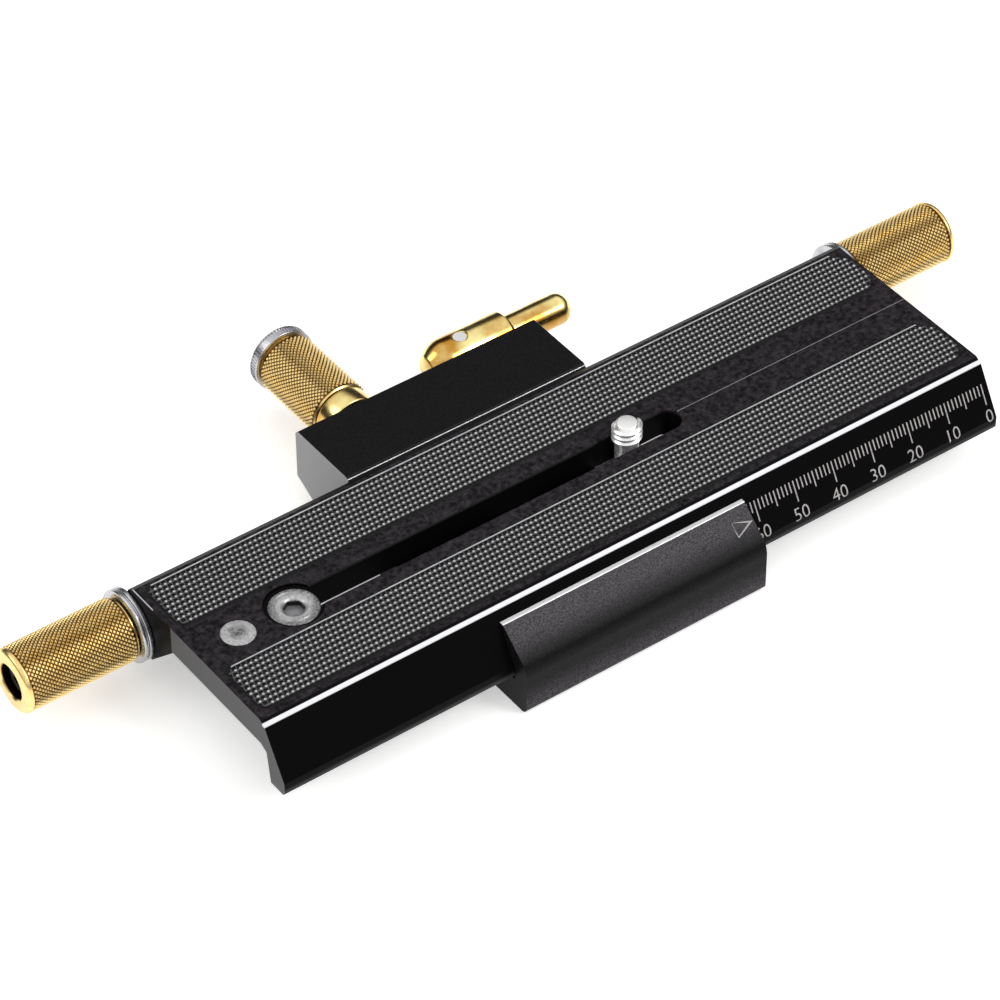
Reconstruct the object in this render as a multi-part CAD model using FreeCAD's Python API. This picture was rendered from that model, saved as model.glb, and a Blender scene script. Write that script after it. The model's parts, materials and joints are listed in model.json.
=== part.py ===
"""Macro focusing rail: a dovetail rail that slides on a carriage, driven by a lead screw.

The origin is the tripod thread's centre on the carriage's underside. X runs along the
rail, minus Y is the ruler side and Z is up. The rail stands where the photograph has it.
"""
import FreeCAD, Part
import math
import os

V = FreeCAD.Vector
X_AXIS = V(1, 0, 0)
Y_AXIS = V(0, 1, 0)
Z_AXIS = V(0, 0, 1)

# clearances between pieces
slide_clearance = 0.15      # rail flanks to carriage jaws, square to the flank
floor_clearance = 0.10      # rail's underside to carriage floor
running_clearance = 0.05    # shafts and sliding plungers, on the radius
seat_clearance = 0.02       # pieces pressed, screwed or glued in, on the radius
end_gap = 0.30              # between turning faces and the piece beside them

# carriage
carriage_length = 60.0
floor_thickness = 6.8
jaw_foot_thickness = 3.72
front_foot_radius = 1.5
jaw_land = 0.95
jaw_bevel_depth = 5.6
jaw_bevel_width = 6.5
jaw_turn_length = 2.0
jaw_height_over_floor = 11.6
block_depth = 15.32
block_edge_break = 0.8
block_skirt_height = 6.0
block_skirt_depth = 11.0
block_inner_break = 1.4
channel_relief = 0.2

# rail
rail_length = 178.3
rail_rest_x = 5.05
rail_top_width = 46.3
rail_height = 14.6
plate_thickness = 6.3
flank_angle = 30.0
flank_height = 11.4
edge_break_width = 1.05
edge_break_drop = 0.95
toe_break = 0.6
front_flange_foot = 4.7
front_flange_lean = 1.0
flange_fillet_height = 1.05
flange_fillet_width = 1.9
rear_section_width = 21.43

# slot along the middle of the rail, with its keyhole and plugs
slot_width = 5.5
slot_edge_break = 0.4
slot_end_inset = 60.9
keyhole_inset = 22.95
keyhole_radius = 5.3
keyhole_recess = 0.85
keyhole_recess_depth = 0.5
plug_socket_across = 4.0
plug_socket_depth = 3.0
locating_plug_inset = 9.95
locating_plug_radius = 3.65
locating_plug_length = 3.0

# grip strips let into the rail's top
strip_left_inset = 1.65
strip_right_inset = 0.85
strip_width = 13.7
strip_edge_margin = 2.2
strip_thickness = 1.5
strip_proud = 0.5
strip_left_corner = 1.5
strip_right_corner = 3.0

# lead screw, its bushes and drive knobs
screw_inset = 6.68
screw_height_in_rail = 5.1
screw_radius = 3.0
journal_radius = 2.5
screw_channel_radius = 4.1
window_height = 5.6
bush_flange_radius = 7.93
bush_flange_thickness = 2.15
bush_length = 8.0
knob_length = 25.7
knob_radius = 7.0
knob_outer_break = 1.4
knob_mouth_radius = 3.8
knob_mouth_depth = 4.5
knob_web = 2.0
knob_screw_radius = 1.5
knob_screw_head_radius = 2.75
knob_screw_head_height = 3.0
knob_screw_length = 10.0
knob_screw_socket_across = 2.5
knob_screw_socket_depth = 1.6

# camera screw and its washer
stud_x = 15.2
stud_radius = 3.175
stud_height = 4.8
stud_tip_radius = 2.1
stud_neck_radius = 2.5
stud_head_radius = 6.0
stud_head_height = 3.6
coin_slot_width = 1.6
coin_slot_depth = 1.8
washer_radius = 6.5
washer_thickness = 1.0
washer_clearance = 0.1

# tripod threads in the carriage floor
tripod_thread_radius = 4.7625
tripod_bush_radius = 7.0
tripod_bush_head_radius = 8.5
tripod_bush_head_height = 1.6
small_thread_radius = 3.175
small_thread_x = 16.0

# half nut, its spring and the release lever
release_inset = 14.85
half_nut_radius = 5.05
half_nut_set_back = 0.92
half_nut_length = 5.0
tongue_height = 5.0
pull_rod_radius = 2.5
pull_rod_seat = 4.0
rod_guide_length = 3.0
rod_eye_height = 3.3
spring_wire_radius = 0.4
spring_radius = 3.9
spring_turns = 3
spring_wire_sides = 5
lever_radius = 5.175
lever_gap = 0.15
lever_heel_length = 8.6
lever_heel_round = 3.1
lever_heel_drop = 2.3
lever_thick_end = 11.35
lever_step_length = 0.85
lever_thin_radius = 3.55
lever_thin_end = 25.2
lever_dome_length = 2.7
lever_dome_bulge = 0.85
lever_dome_bands = 2
lever_tip_flat = 0.5
lever_pin_radius = 1.5
lever_pin_inset = 0.2
lever_swing_room = 2.1
eye_flat_lead = 1.6

# lock knob, its collar and brake shoe
lock_inset = 14.5
collar_radius = 6.5
collar_length = 4.8
collar_spigot_radius = 5.0
collar_spigot_length = 6.0
spindle_radius = 3.0
lock_knob_radius = 7.0
lock_knob_length = 20.0
ring_groove = 0.5
ring_groove_radius = 5.8
ring_radius = 7.25
ring_length = 2.5
shoe_width = 14.0
shoe_height = 8.8
shoe_top_over_axis = 4.4
shoe_depth = 3.4
shoe_set_back = 0.30
shoe_side_clearance = 0.1

# places that follow from the sizes above
rail_bottom_z = floor_thickness + floor_clearance
rail_top_z = rail_bottom_z + rail_height
plate_under_z = rail_top_z - plate_thickness
flank_slope = math.tan(math.radians(flank_angle))
flank_foot_z = rail_top_z - flank_height
half_top = rail_top_width / 2
half_foot = half_top + flank_height * flank_slope
jaw_offset = slide_clearance / math.cos(math.radians(flank_angle))
jaw_top_z = floor_thickness + jaw_height_over_floor
channel_half = half_foot + slide_clearance + channel_relief
front_face_y = channel_half + jaw_foot_thickness
block_rear_y = channel_half + block_depth
rear_section_y = half_foot - rear_section_width
strip_centre_y = half_top - strip_edge_margin - strip_width / 2
screw_y = half_foot - screw_inset
half_nut_front_y = channel_half + half_nut_set_back
mechanism_z = rail_bottom_z + screw_height_in_rail
rail_left_x = rail_rest_x - rail_length / 2
rail_right_x = rail_rest_x + rail_length / 2
keyhole_x = rail_left_x + keyhole_inset
locating_plug_x = rail_left_x + locating_plug_inset
slot_end_x = rail_right_x - slot_end_inset
release_x = carriage_length / 2 - release_inset
lock_x = lock_inset - carriage_length / 2


def flank_y(z, offset=0.0):
    """Distance of the rail's flank from the middle at height z, moved out by offset."""
    return half_top + (rail_top_z - z) * flank_slope + offset


def flank_z(y, offset=0.0):
    """Height at which the flank, moved out by offset, is y from the middle."""
    return rail_top_z - (y - offset - half_top) / flank_slope


def rod(radius, start, end):
    """A round bar from one point to another."""
    return Part.makeCylinder(radius, (end - start).Length, start, end - start)


def extrude_x(points, x_start, x_end):
    """A section given as (y, z) points, pushed along X."""
    corners = [V(x_start, y, z) for y, z in points]
    face = Part.Face(Part.makePolygon(corners + corners[:1]))
    return face.extrude(V(x_end - x_start, 0, 0))


def box(x_range, y_range, z_range):
    """A box from its lower and upper limits."""
    size = [high - low for low, high in (x_range, y_range, z_range)]
    return Part.makeBox(size[0], size[1], size[2], V(x_range[0], y_range[0], z_range[0]))


def turned(profile, origin, axis):
    """A turned piece: (along, radius) points spun about an axis through origin."""
    side = Z_AXIS if axis != Z_AXIS else X_AXIS
    corners = [origin + axis * along + side * radius for along, radius in profile]
    face = Part.Face(Part.makePolygon(corners + corners[:1]))
    return face.revolve(origin, axis, 360)


def rounded(start, end, bulge, bands):
    """The corners of a turned round from start to end, made of short tapered bands.

    The round stands bulge above the straight line between its ends.
    """
    chord = math.hypot(end[0] - start[0], end[1] - start[1])
    along = ((end[0] - start[0]) / chord, (end[1] - start[1]) / chord)
    radius = (chord * chord / 4 + bulge * bulge) / (2 * bulge)
    half_angle = math.asin(chord / (2 * radius))
    points = []
    for band in range(bands + 1):
        angle = half_angle * (2 * band / bands - 1)
        step = chord / 2 + radius * math.sin(angle)
        height = bulge - radius * (1 - math.cos(angle))
        points.append((
            start[0] + along[0] * step - along[1] * height,
            start[1] + along[1] * step + along[0] * height,
        ))
    return points


def hex_bar(across, start, end):
    """A six-sided bar for sockets, measured across its flats."""
    axis = (end - start).normalize()
    side = Z_AXIS if abs(axis.dot(Z_AXIS)) < 0.5 else X_AXIS
    other = axis.cross(side)
    reach = across / math.sqrt(3)
    corners = []
    for step in range(6):
        angle = math.radians(60 * step)
        corners.append(start + side * (reach * math.cos(angle)) + other * (reach * math.sin(angle)))
    face = Part.Face(Part.makePolygon(corners + corners[:1]))
    return face.extrude(end - start)


def stadium(x_start, x_end, width, z):
    """A slot outline with round ends, lying flat at height z."""
    half = width / 2
    left = x_start + half
    right = x_end - half
    edges = [
        Part.makeLine(V(left, half, z), V(right, half, z)),
        Part.Arc(V(right, half, z), V(right + half, 0, z), V(right, -half, z)).toShape(),
        Part.makeLine(V(right, -half, z), V(left, -half, z)),
        Part.Arc(V(left, -half, z), V(left - half, 0, z), V(left, half, z)).toShape(),
    ]
    return Part.Wire(edges)


def rail_section():
    """The rail's extruded section: dovetail flanks, a thin front flange, a thick rear."""
    edge_z = rail_top_z - edge_break_drop
    top_y = half_top - edge_break_width
    flange_foot_y = half_foot - front_flange_foot
    flange_root_y = flange_foot_y - front_flange_lean
    fillet_z = plate_under_z - flange_fillet_height
    rear_foot_y = rear_section_y + plate_under_z - rail_bottom_z
    return [
        (-top_y, rail_top_z),
        (-flank_y(edge_z), edge_z),
        (-half_foot, flank_foot_z),
        (-half_foot, rail_bottom_z + toe_break),
        (-half_foot + toe_break, rail_bottom_z),
        (-flange_foot_y, rail_bottom_z),
        (-flange_root_y, fillet_z),
        (-flange_root_y + flange_fillet_width, plate_under_z),
        (rear_section_y, plate_under_z),
        (rear_foot_y, rail_bottom_z),
        (half_foot - toe_break, rail_bottom_z),
        (half_foot, rail_bottom_z + toe_break),
        (half_foot, flank_foot_z),
        (flank_y(edge_z), edge_z),
        (top_y, rail_top_z),
    ]


def strip_outline(side, x_start, x_end, grow, z):
    """A grip strip's outline with its cut corners, larger all round by grow."""
    low = side * strip_centre_y - strip_width / 2 - grow
    high = side * strip_centre_y + strip_width / 2 + grow
    left = x_start - grow
    right = x_end + grow
    corners = [
        V(left, low + strip_left_corner, z),
        V(left + strip_left_corner, low, z),
        V(right - strip_right_corner, low, z),
        V(right, low + strip_right_corner, z),
        V(right, high - strip_right_corner, z),
        V(right - strip_right_corner, high, z),
        V(left + strip_left_corner, high, z),
        V(left, high - strip_left_corner, z),
    ]
    return Part.Face(Part.makePolygon(corners + corners[:1]))


def strip_ends():
    """Where the grip strips start and end along X."""
    return rail_left_x + strip_left_inset, rail_right_x - strip_right_inset


def grip_strip(side):
    """One soft grip strip, seated in its shallow recess."""
    x_start, x_end = strip_ends()
    base_z = rail_top_z + strip_proud - strip_thickness
    return strip_outline(side, x_start, x_end, 0.0, base_z).extrude(Z_AXIS * strip_thickness)


def rail_plate():
    """The rail itself, with its slot, keyhole, strip recesses and lead screw channel."""
    shape = extrude_x(rail_section(), rail_left_x, rail_right_x)
    through = plate_thickness + 2
    outline = stadium(keyhole_x, slot_end_x, slot_width, plate_under_z - 1)
    shape = shape.cut(Part.Face(outline).extrude(Z_AXIS * through))
    wide = slot_width + 2 * slot_edge_break
    lower = stadium(keyhole_x, slot_end_x, slot_width, rail_top_z - slot_edge_break)
    upper = stadium(keyhole_x, slot_end_x + slot_edge_break, wide, rail_top_z)
    shape = shape.cut(Part.makeLoft([lower, upper], True, True))
    keyhole = V(keyhole_x, 0, plate_under_z - 1)
    shape = shape.cut(rod(keyhole_radius + seat_clearance, keyhole, keyhole + Z_AXIS * through))
    recess = V(keyhole_x, 0, rail_top_z - keyhole_recess_depth)
    shape = shape.cut(rod(keyhole_radius + keyhole_recess, recess, recess + Z_AXIS))
    pit = V(locating_plug_x, 0, rail_top_z - locating_plug_length)
    shape = shape.cut(rod(locating_plug_radius + seat_clearance, pit, pit + Z_AXIS * through))
    x_start, x_end = strip_ends()
    recess_z = rail_top_z + strip_proud - strip_thickness
    for side in (-1, 1):
        face = strip_outline(side, x_start, x_end, seat_clearance, recess_z)
        shape = shape.cut(face.extrude(Z_AXIS * strip_thickness))
    channel_start = V(rail_left_x - 1, screw_y, mechanism_z)
    channel_end = V(rail_right_x + 1, screw_y, mechanism_z)
    shape = shape.cut(rod(screw_channel_radius, channel_start, channel_end))
    window = box(
        (rail_left_x - 1, rail_right_x + 1),
        (screw_y, half_foot + 1),
        (mechanism_z - window_height / 2, mechanism_z + window_height / 2),
    )
    return shape.cut(window)


def slot_plug_screw():
    """The plug that closes the keyhole, with a hex socket."""
    bottom = V(keyhole_x, 0, plate_under_z)
    length = plate_thickness - keyhole_recess_depth
    profile = [
        (0, 0),
        (0, keyhole_radius),
        (length, keyhole_radius),
        (length, 0),
    ]
    shape = turned(profile, bottom, Z_AXIS)
    top = bottom + Z_AXIS * length
    return shape.cut(hex_bar(plug_socket_across, top - Z_AXIS * plug_socket_depth, top + Z_AXIS))


def locating_plug():
    """The small disc set into the plate beyond the keyhole."""
    bottom = V(locating_plug_x, 0, rail_top_z - locating_plug_length)
    profile = [
        (0, 0),
        (0, locating_plug_radius),
        (locating_plug_length, locating_plug_radius),
        (locating_plug_length, 0),
    ]
    return turned(profile, bottom, Z_AXIS)


def screw_end(side):
    """The lead screw's axis point at one end face of the rail, and the way out of it."""
    x = rail_right_x if side > 0 else rail_left_x
    return V(x, screw_y, mechanism_z), X_AXIS * side


def flanged_bush(side):
    """A bush for one end of the lead screw, with the wide ring that shows outside."""
    face, out = screw_end(side)
    bore = journal_radius + running_clearance
    body = screw_channel_radius - seat_clearance
    profile = [
        (-bush_length, bore),
        (-bush_length, body),
        (0, body),
        (0, bush_flange_radius),
        (bush_flange_thickness, bush_flange_radius),
        (bush_flange_thickness, bore),
    ]
    return turned(profile, face, out)


def drive_knob(side):
    """A drive knob: plain barrel, rounded outer edge and a mouth for its screw."""
    face, out = screw_end(side)
    inner = bush_flange_thickness + end_gap
    outer = inner + knob_length
    floor = outer - knob_mouth_depth
    bore = journal_radius + seat_clearance
    hole = knob_screw_radius + seat_clearance
    profile = [
        (inner, bore),
        (inner, knob_radius),
        (outer - knob_outer_break, knob_radius),
        (outer, knob_radius - knob_outer_break),
        (outer, knob_mouth_radius),
        (floor, knob_mouth_radius),
        (floor, hole),
        (floor - knob_web, hole),
        (floor - knob_web, bore),
    ]
    return turned(profile, face, out)


def knob_screw(side):
    """The cap screw that holds a drive knob on the lead screw."""
    face, out = screw_end(side)
    seat = bush_flange_thickness + end_gap + knob_length - knob_mouth_depth
    profile = [
        (seat - knob_screw_length, 0),
        (seat - knob_screw_length, knob_screw_radius),
        (seat, knob_screw_radius),
        (seat, knob_screw_head_radius),
        (seat + knob_screw_head_height, knob_screw_head_radius),
        (seat + knob_screw_head_height, 0),
    ]
    shape = turned(profile, face, out)
    top = face + out * (seat + knob_screw_head_height)
    return shape.cut(hex_bar(knob_screw_socket_across, top - out * knob_screw_socket_depth, top + out))


def lead_screw():
    """The lead screw: a threaded middle, drawn plain, with a journal at each end."""
    left_face, left = screw_end(-1)
    right_face, right = screw_end(1)
    journal_end = bush_flange_thickness + end_gap + knob_length - knob_mouth_depth - knob_web
    shape = rod(
        screw_radius,
        left_face - left * (bush_length + end_gap),
        right_face - right * (bush_length + end_gap),
    )
    shape = shape.fuse(rod(
        journal_radius,
        left_face + left * journal_end,
        right_face + right * journal_end,
    ))
    hole_depth = knob_screw_length - knob_web + end_gap
    for face, out in ((left_face, left), (right_face, right)):
        mouth = face + out * (journal_end + 1)
        bottom = face + out * (journal_end - hole_depth)
        shape = shape.cut(rod(knob_screw_radius + seat_clearance, bottom, mouth))
    return shape.removeSplitter()


def camera_screw():
    """The captive camera screw: coin-slot head below the plate, thread above it."""
    washer_top = plate_under_z - washer_clearance
    head_top = washer_top - washer_thickness - washer_clearance
    base = V(rail_rest_x + stud_x, 0, head_top)
    thread_start = rail_top_z + washer_clearance - head_top
    thread_end = rail_top_z + stud_height - head_top
    tip = stud_radius - stud_tip_radius
    profile = [
        (-stud_head_height, 0),
        (-stud_head_height, stud_head_radius),
        (0, stud_head_radius),
        (0, stud_radius),
        (washer_top - head_top, stud_radius),
        (washer_top - head_top, stud_neck_radius),
        (thread_start, stud_neck_radius),
        (thread_start, stud_radius),
        (thread_end - tip, stud_radius),
        (thread_end, stud_tip_radius),
        (thread_end, 0),
    ]
    shape = turned(profile, base, Z_AXIS)
    bottom_z = head_top - stud_head_height
    slot = box(
        (base.x - stud_head_radius - 1, base.x + stud_head_radius + 1),
        (-coin_slot_width / 2, coin_slot_width / 2),
        (bottom_z - 1, bottom_z + coin_slot_depth),
    )
    return shape.cut(slot)


def camera_screw_washer():
    """The washer that the camera screw's head pulls against the plate."""
    top = V(rail_rest_x + stud_x, 0, plate_under_z - washer_clearance)
    ring = rod(washer_radius, top - Z_AXIS * washer_thickness, top)
    bore = stud_radius + running_clearance
    return ring.cut(rod(bore, top - Z_AXIS * (washer_thickness + 1), top + Z_AXIS))


def front_jaw_outline():
    """The jaw beside the ruler: land, bevel, soft turn and rounded foot."""
    inner_y = -flank_y(jaw_top_z, jaw_offset)
    land_y = inner_y - jaw_land
    slope = jaw_bevel_depth / jaw_bevel_width
    corner_z = jaw_top_z - (front_face_y + land_y) * slope
    run = jaw_turn_length / math.hypot(1, slope)
    turn_end = V(0, -front_face_y + run, corner_z + run * slope)
    turn_start = V(0, -front_face_y, corner_z - jaw_turn_length)
    foot_side = V(0, -front_face_y, front_foot_radius)
    foot_under = V(0, -front_face_y + front_foot_radius, 0)
    corner = V(0, -front_face_y, corner_z)
    into = (turn_start - corner).normalize() + (turn_end - corner).normalize()
    half_angle = math.acos(into.Length / 2)
    arc_radius = jaw_turn_length * math.tan(half_angle)
    sagitta = jaw_turn_length / math.cos(half_angle) - arc_radius
    turn_middle = corner + into.normalize() * sagitta
    foot_middle = V(
        0,
        -front_face_y + front_foot_radius * (1 - math.sqrt(0.5)),
        front_foot_radius * (1 - math.sqrt(0.5)),
    )
    return [
        Part.makeLine(V(0, inner_y, jaw_top_z), V(0, land_y, jaw_top_z)),
        Part.makeLine(V(0, land_y, jaw_top_z), turn_end),
        Part.Arc(turn_end, turn_middle, turn_start).toShape(),
        Part.makeLine(turn_start, foot_side),
        Part.Arc(foot_side, foot_middle, foot_under).toShape(),
    ]


def carriage_block():
    """The carriage's extruded section: front jaw, floor and rear mechanism block."""
    edges = front_jaw_outline()
    foot_y = -front_face_y + front_foot_radius
    knee_z = flank_z(channel_half, jaw_offset)
    block_flank_z = jaw_top_z - block_inner_break
    corners = [
        (foot_y, 0),
        (block_rear_y - block_skirt_depth, 0),
        (block_rear_y, block_skirt_height),
        (block_rear_y, jaw_top_z - block_edge_break),
        (block_rear_y - block_edge_break, jaw_top_z),
        (flank_y(block_flank_z, jaw_offset) + block_inner_break, jaw_top_z),
        (flank_y(block_flank_z, jaw_offset), block_flank_z),
        (channel_half, knee_z),
        (channel_half, floor_thickness),
        (-channel_half, floor_thickness),
        (-channel_half, knee_z),
        (-flank_y(jaw_top_z, jaw_offset), jaw_top_z),
    ]
    for here, there in zip(corners, corners[1:]):
        edges.append(Part.makeLine(V(0, here[0], here[1]), V(0, there[0], there[1])))
    face = Part.Face(Part.Wire(edges))
    shape = face.extrude(X_AXIS * carriage_length)
    shape.translate(X_AXIS * (-carriage_length / 2))
    return shape


def shoe_section(grow_back, grow_height):
    """The brake shoe's section, or its pocket's when it is grown."""
    top = mechanism_z + shoe_top_over_axis + grow_height
    bottom = mechanism_z + shoe_top_over_axis - shoe_height - grow_height
    front = channel_half + shoe_set_back
    knee_z = flank_z(channel_half, jaw_offset)
    top_y = flank_y(top, jaw_offset) + shoe_set_back
    back = channel_half + shoe_set_back + shoe_depth + grow_back
    return [(front, bottom), (front, knee_z), (top_y, top), (back, top), (back, bottom)]


def carriage_body():
    """The carriage with its threads and the bores for the two mechanisms."""
    shape = carriage_block()
    head_z = floor_thickness - tripod_bush_head_height
    shape = shape.cut(rod(tripod_bush_radius + seat_clearance, V(0, 0, -1), V(0, 0, floor_thickness + 1)))
    shape = shape.cut(rod(
        tripod_bush_head_radius + seat_clearance, V(0, 0, head_z), V(0, 0, floor_thickness + 1)
    ))
    shape = shape.cut(rod(
        small_thread_radius, V(small_thread_x, 0, -1), V(small_thread_x, 0, floor_thickness + 1)
    ))
    nut_bore_start = V(release_x, screw_y, mechanism_z)
    nut_bore_end = V(release_x, block_rear_y + 1, mechanism_z)
    shape = shape.cut(rod(half_nut_radius + running_clearance, nut_bore_start, nut_bore_end))
    half_pocket = shoe_width / 2 + shoe_side_clearance
    section = shoe_section(end_gap, shoe_side_clearance)
    pocket = extrude_x(section, lock_x - half_pocket, lock_x + half_pocket)
    mouth = box(
        (lock_x - half_pocket, lock_x + half_pocket),
        (half_top, channel_half + shoe_set_back + shoe_side_clearance),
        (section[0][1], section[2][1]),
    )
    shape = shape.cut(pocket.fuse(mouth))
    spindle_start = V(lock_x, channel_half, mechanism_z)
    spindle_end = V(lock_x, block_rear_y + 1, mechanism_z)
    shape = shape.cut(rod(spindle_radius + running_clearance, spindle_start, spindle_end))
    spigot_start = V(lock_x, block_rear_y - collar_spigot_length - seat_clearance, mechanism_z)
    return shape.cut(rod(collar_spigot_radius + seat_clearance, spigot_start, spindle_end))


def tripod_bush():
    """The steel bush with the tripod thread, shouldered so that it can't pull out."""
    profile = [
        (0, tripod_thread_radius),
        (0, tripod_bush_radius),
        (floor_thickness - tripod_bush_head_height, tripod_bush_radius),
        (floor_thickness - tripod_bush_head_height, tripod_bush_head_radius),
        (floor_thickness, tripod_bush_head_radius),
        (floor_thickness, tripod_thread_radius),
    ]
    return turned(profile, V(0, 0, 0), Z_AXIS)


def half_nut():
    """The half nut: a round plunger with a flat tongue that reaches the lead screw."""
    back_y = half_nut_front_y + half_nut_length
    shape = rod(
        half_nut_radius,
        V(release_x, screw_y, mechanism_z),
        V(release_x, back_y, mechanism_z),
    )
    tongue = box(
        (release_x - half_nut_radius, release_x + half_nut_radius),
        (screw_y, half_nut_front_y),
        (mechanism_z - tongue_height / 2, mechanism_z + tongue_height / 2),
    )
    front = box(
        (release_x - half_nut_radius - 1, release_x + half_nut_radius + 1),
        (screw_y - 1, half_nut_front_y),
        (mechanism_z - half_nut_radius - 1, mechanism_z + half_nut_radius + 1),
    )
    shape = shape.cut(front.cut(tongue))
    reach = half_nut_radius + 1
    shape = shape.cut(rod(
        screw_radius + running_clearance,
        V(release_x - reach, screw_y, mechanism_z),
        V(release_x + reach, screw_y, mechanism_z),
    ))
    seat = V(release_x, back_y - pull_rod_seat, mechanism_z)
    return shape.cut(rod(pull_rod_radius + seat_clearance, seat, V(release_x, back_y + 1, mechanism_z)))


def lever_axis_y():
    """How far back the release lever's own axis lies."""
    return block_rear_y + lever_gap + lever_radius


def pull_rod():
    """The rod from the half nut to the lever, flattened to an eye for the pin."""
    start = V(release_x, half_nut_front_y + half_nut_length - pull_rod_seat, mechanism_z)
    eye = V(release_x, lever_axis_y(), mechanism_z)
    shape = rod(pull_rod_radius, start, eye)
    half_eye = Z_AXIS * (rod_eye_height / 2)
    flat = half_eye + Z_AXIS * pull_rod_radius
    shape = shape.fuse(rod(pull_rod_radius, eye - half_eye, eye + half_eye))
    for side in (-1, 1):
        z_limits = sorted((mechanism_z + side * half_eye.z, mechanism_z + side * (flat.z + 1)))
        shape = shape.cut(box(
            (release_x - pull_rod_radius - 1, release_x + pull_rod_radius + 1),
            (block_rear_y + lever_gap - eye_flat_lead, eye.y + pull_rod_radius + 1),
            (z_limits[0], z_limits[1]),
        ))
    hole = lever_pin_radius + seat_clearance
    return shape.cut(rod(hole, eye - flat, eye + flat))


def rod_guide_bush():
    """The bush that guides the pull rod and closes the spring's bore."""
    back = V(release_x, block_rear_y, mechanism_z)
    front = back - Y_AXIS * rod_guide_length
    shape = rod(half_nut_radius + running_clearance - seat_clearance, front, back)
    return shape.cut(rod(pull_rod_radius + running_clearance, front - Y_AXIS, back + Y_AXIS))


def lever_pin():
    """The upright pin that joins the lever to the pull rod's eye."""
    eye = V(release_x, lever_axis_y(), mechanism_z)
    reach = Z_AXIS * (lever_radius - lever_pin_inset)
    return rod(lever_pin_radius, eye - reach, eye + reach)


def release_lever():
    """The release lever: a turned handle whose heel bears on the block when it swings."""
    pin = V(release_x, lever_axis_y(), mechanism_z)
    heel_face = lever_radius - lever_heel_drop
    profile = [
        (-lever_heel_length, 0),
        (-lever_heel_length, heel_face),
        (-lever_heel_length + lever_heel_round, lever_radius),
        (lever_thick_end, lever_radius),
        (lever_thick_end + lever_step_length, lever_thin_radius),
        *rounded(
            (lever_thin_end, lever_thin_radius),
            (lever_thin_end + lever_dome_length, lever_tip_flat),
            lever_dome_bulge,
            lever_dome_bands,
        ),
        (lever_thin_end + lever_dome_length, 0),
    ]
    shape = turned(profile, pin, X_AXIS)
    half_mortise = (rod_eye_height + 2 * end_gap / 3) / 2
    side_room = pull_rod_radius + lever_gap
    mortise = box(
        (pin.x - side_room - lever_swing_room, pin.x + side_room),
        (pin.y - lever_radius - 1, pin.y + side_room),
        (pin.z - half_mortise, pin.z + half_mortise),
    )
    shape = shape.cut(mortise)
    reach = Z_AXIS * (lever_radius + 1)
    return shape.cut(rod(lever_pin_radius + running_clearance, pin - reach, pin + reach))


def arc_to(start, heading, end):
    """The arc that leaves start along heading and ends at end."""
    chord = end - start
    across = chord - heading * chord.dot(heading)
    across.normalize()
    radius = chord.dot(chord) / (2 * chord.dot(across))
    centre = start + across * radius
    middle = centre + ((start - centre) + (end - centre)).normalize() * radius
    return Part.Arc(start, middle, end).toShape()


def coil_path(origin, radius, pitch, turns, arcs_per_turn):
    """A coil about Y as one smooth wire: a pair of matched arcs for each half turn."""
    rise = pitch / (2 * math.pi)

    def place(angle):
        offset = V(radius * math.cos(angle), rise * angle, radius * math.sin(angle))
        return origin + offset

    def heading(angle):
        return V(-radius * math.sin(angle), rise, radius * math.cos(angle)).normalize()

    edges = []
    steps = turns * arcs_per_turn
    for step in range(steps):
        first = 2 * math.pi * step / arcs_per_turn
        second = 2 * math.pi * (step + 1) / arcs_per_turn
        start, end = place(first), place(second)
        leaving, arriving = heading(first), heading(second)
        chord = end - start
        both = leaving + arriving
        slack = 2 * (1 - leaving.dot(arriving))
        reach = (-chord.dot(both) + math.sqrt(chord.dot(both) ** 2 + slack * chord.dot(chord))) / slack
        join = (start + end + (leaving - arriving) * reach) * 0.5
        edges.append(arc_to(start, leaving, join))
        back = arc_to(end, arriving * -1, join)
        edges.append(back)
    return edges, place, heading


def release_spring():
    """The return spring between the half nut and the guide bush."""
    arcs_per_turn = 2
    start_y = half_nut_front_y + half_nut_length + spring_wire_radius
    end_y = block_rear_y - rod_guide_length - spring_wire_radius
    pitch = (end_y - start_y) / spring_turns
    origin = V(release_x, start_y, mechanism_z)
    edges, place, heading = coil_path(origin, spring_radius, pitch, spring_turns, arcs_per_turn)
    path = Part.Wire(Part.__sortEdges__(edges))
    round_wire = Part.makeCircle(spring_wire_radius, place(0), heading(0))
    corners = [
        round_wire.valueAt(2 * math.pi * side / spring_wire_sides)
        for side in range(spring_wire_sides)
    ]
    wire = Part.makePolygon(corners + corners[:1])
    samples = [place(2 * math.pi * step / 48) for step in range(48 * spring_turns)]
    least = min(
        (samples[a] - samples[b]).Length
        for a in range(len(samples))
        for b in range(a + 24, len(samples))
    )
    print("release spring, least gap to itself:", round(least - 2 * spring_wire_radius, 3), "mm")
    return path.makePipeShell([wire], True, False)


def lock_collar():
    """The smooth brass collar round the lock spindle, with a spigot seated in the block."""
    face = V(lock_x, block_rear_y, mechanism_z)
    bore = spindle_radius + running_clearance
    profile = [
        (-collar_spigot_length, bore),
        (-collar_spigot_length, collar_spigot_radius),
        (0, collar_spigot_radius),
        (0, collar_radius),
        (collar_length, collar_radius),
        (collar_length, bore),
    ]
    return turned(profile, face, Y_AXIS)


def lock_knob_start():
    """How far behind the block the lock knob's barrel starts."""
    return collar_length + end_gap


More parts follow.
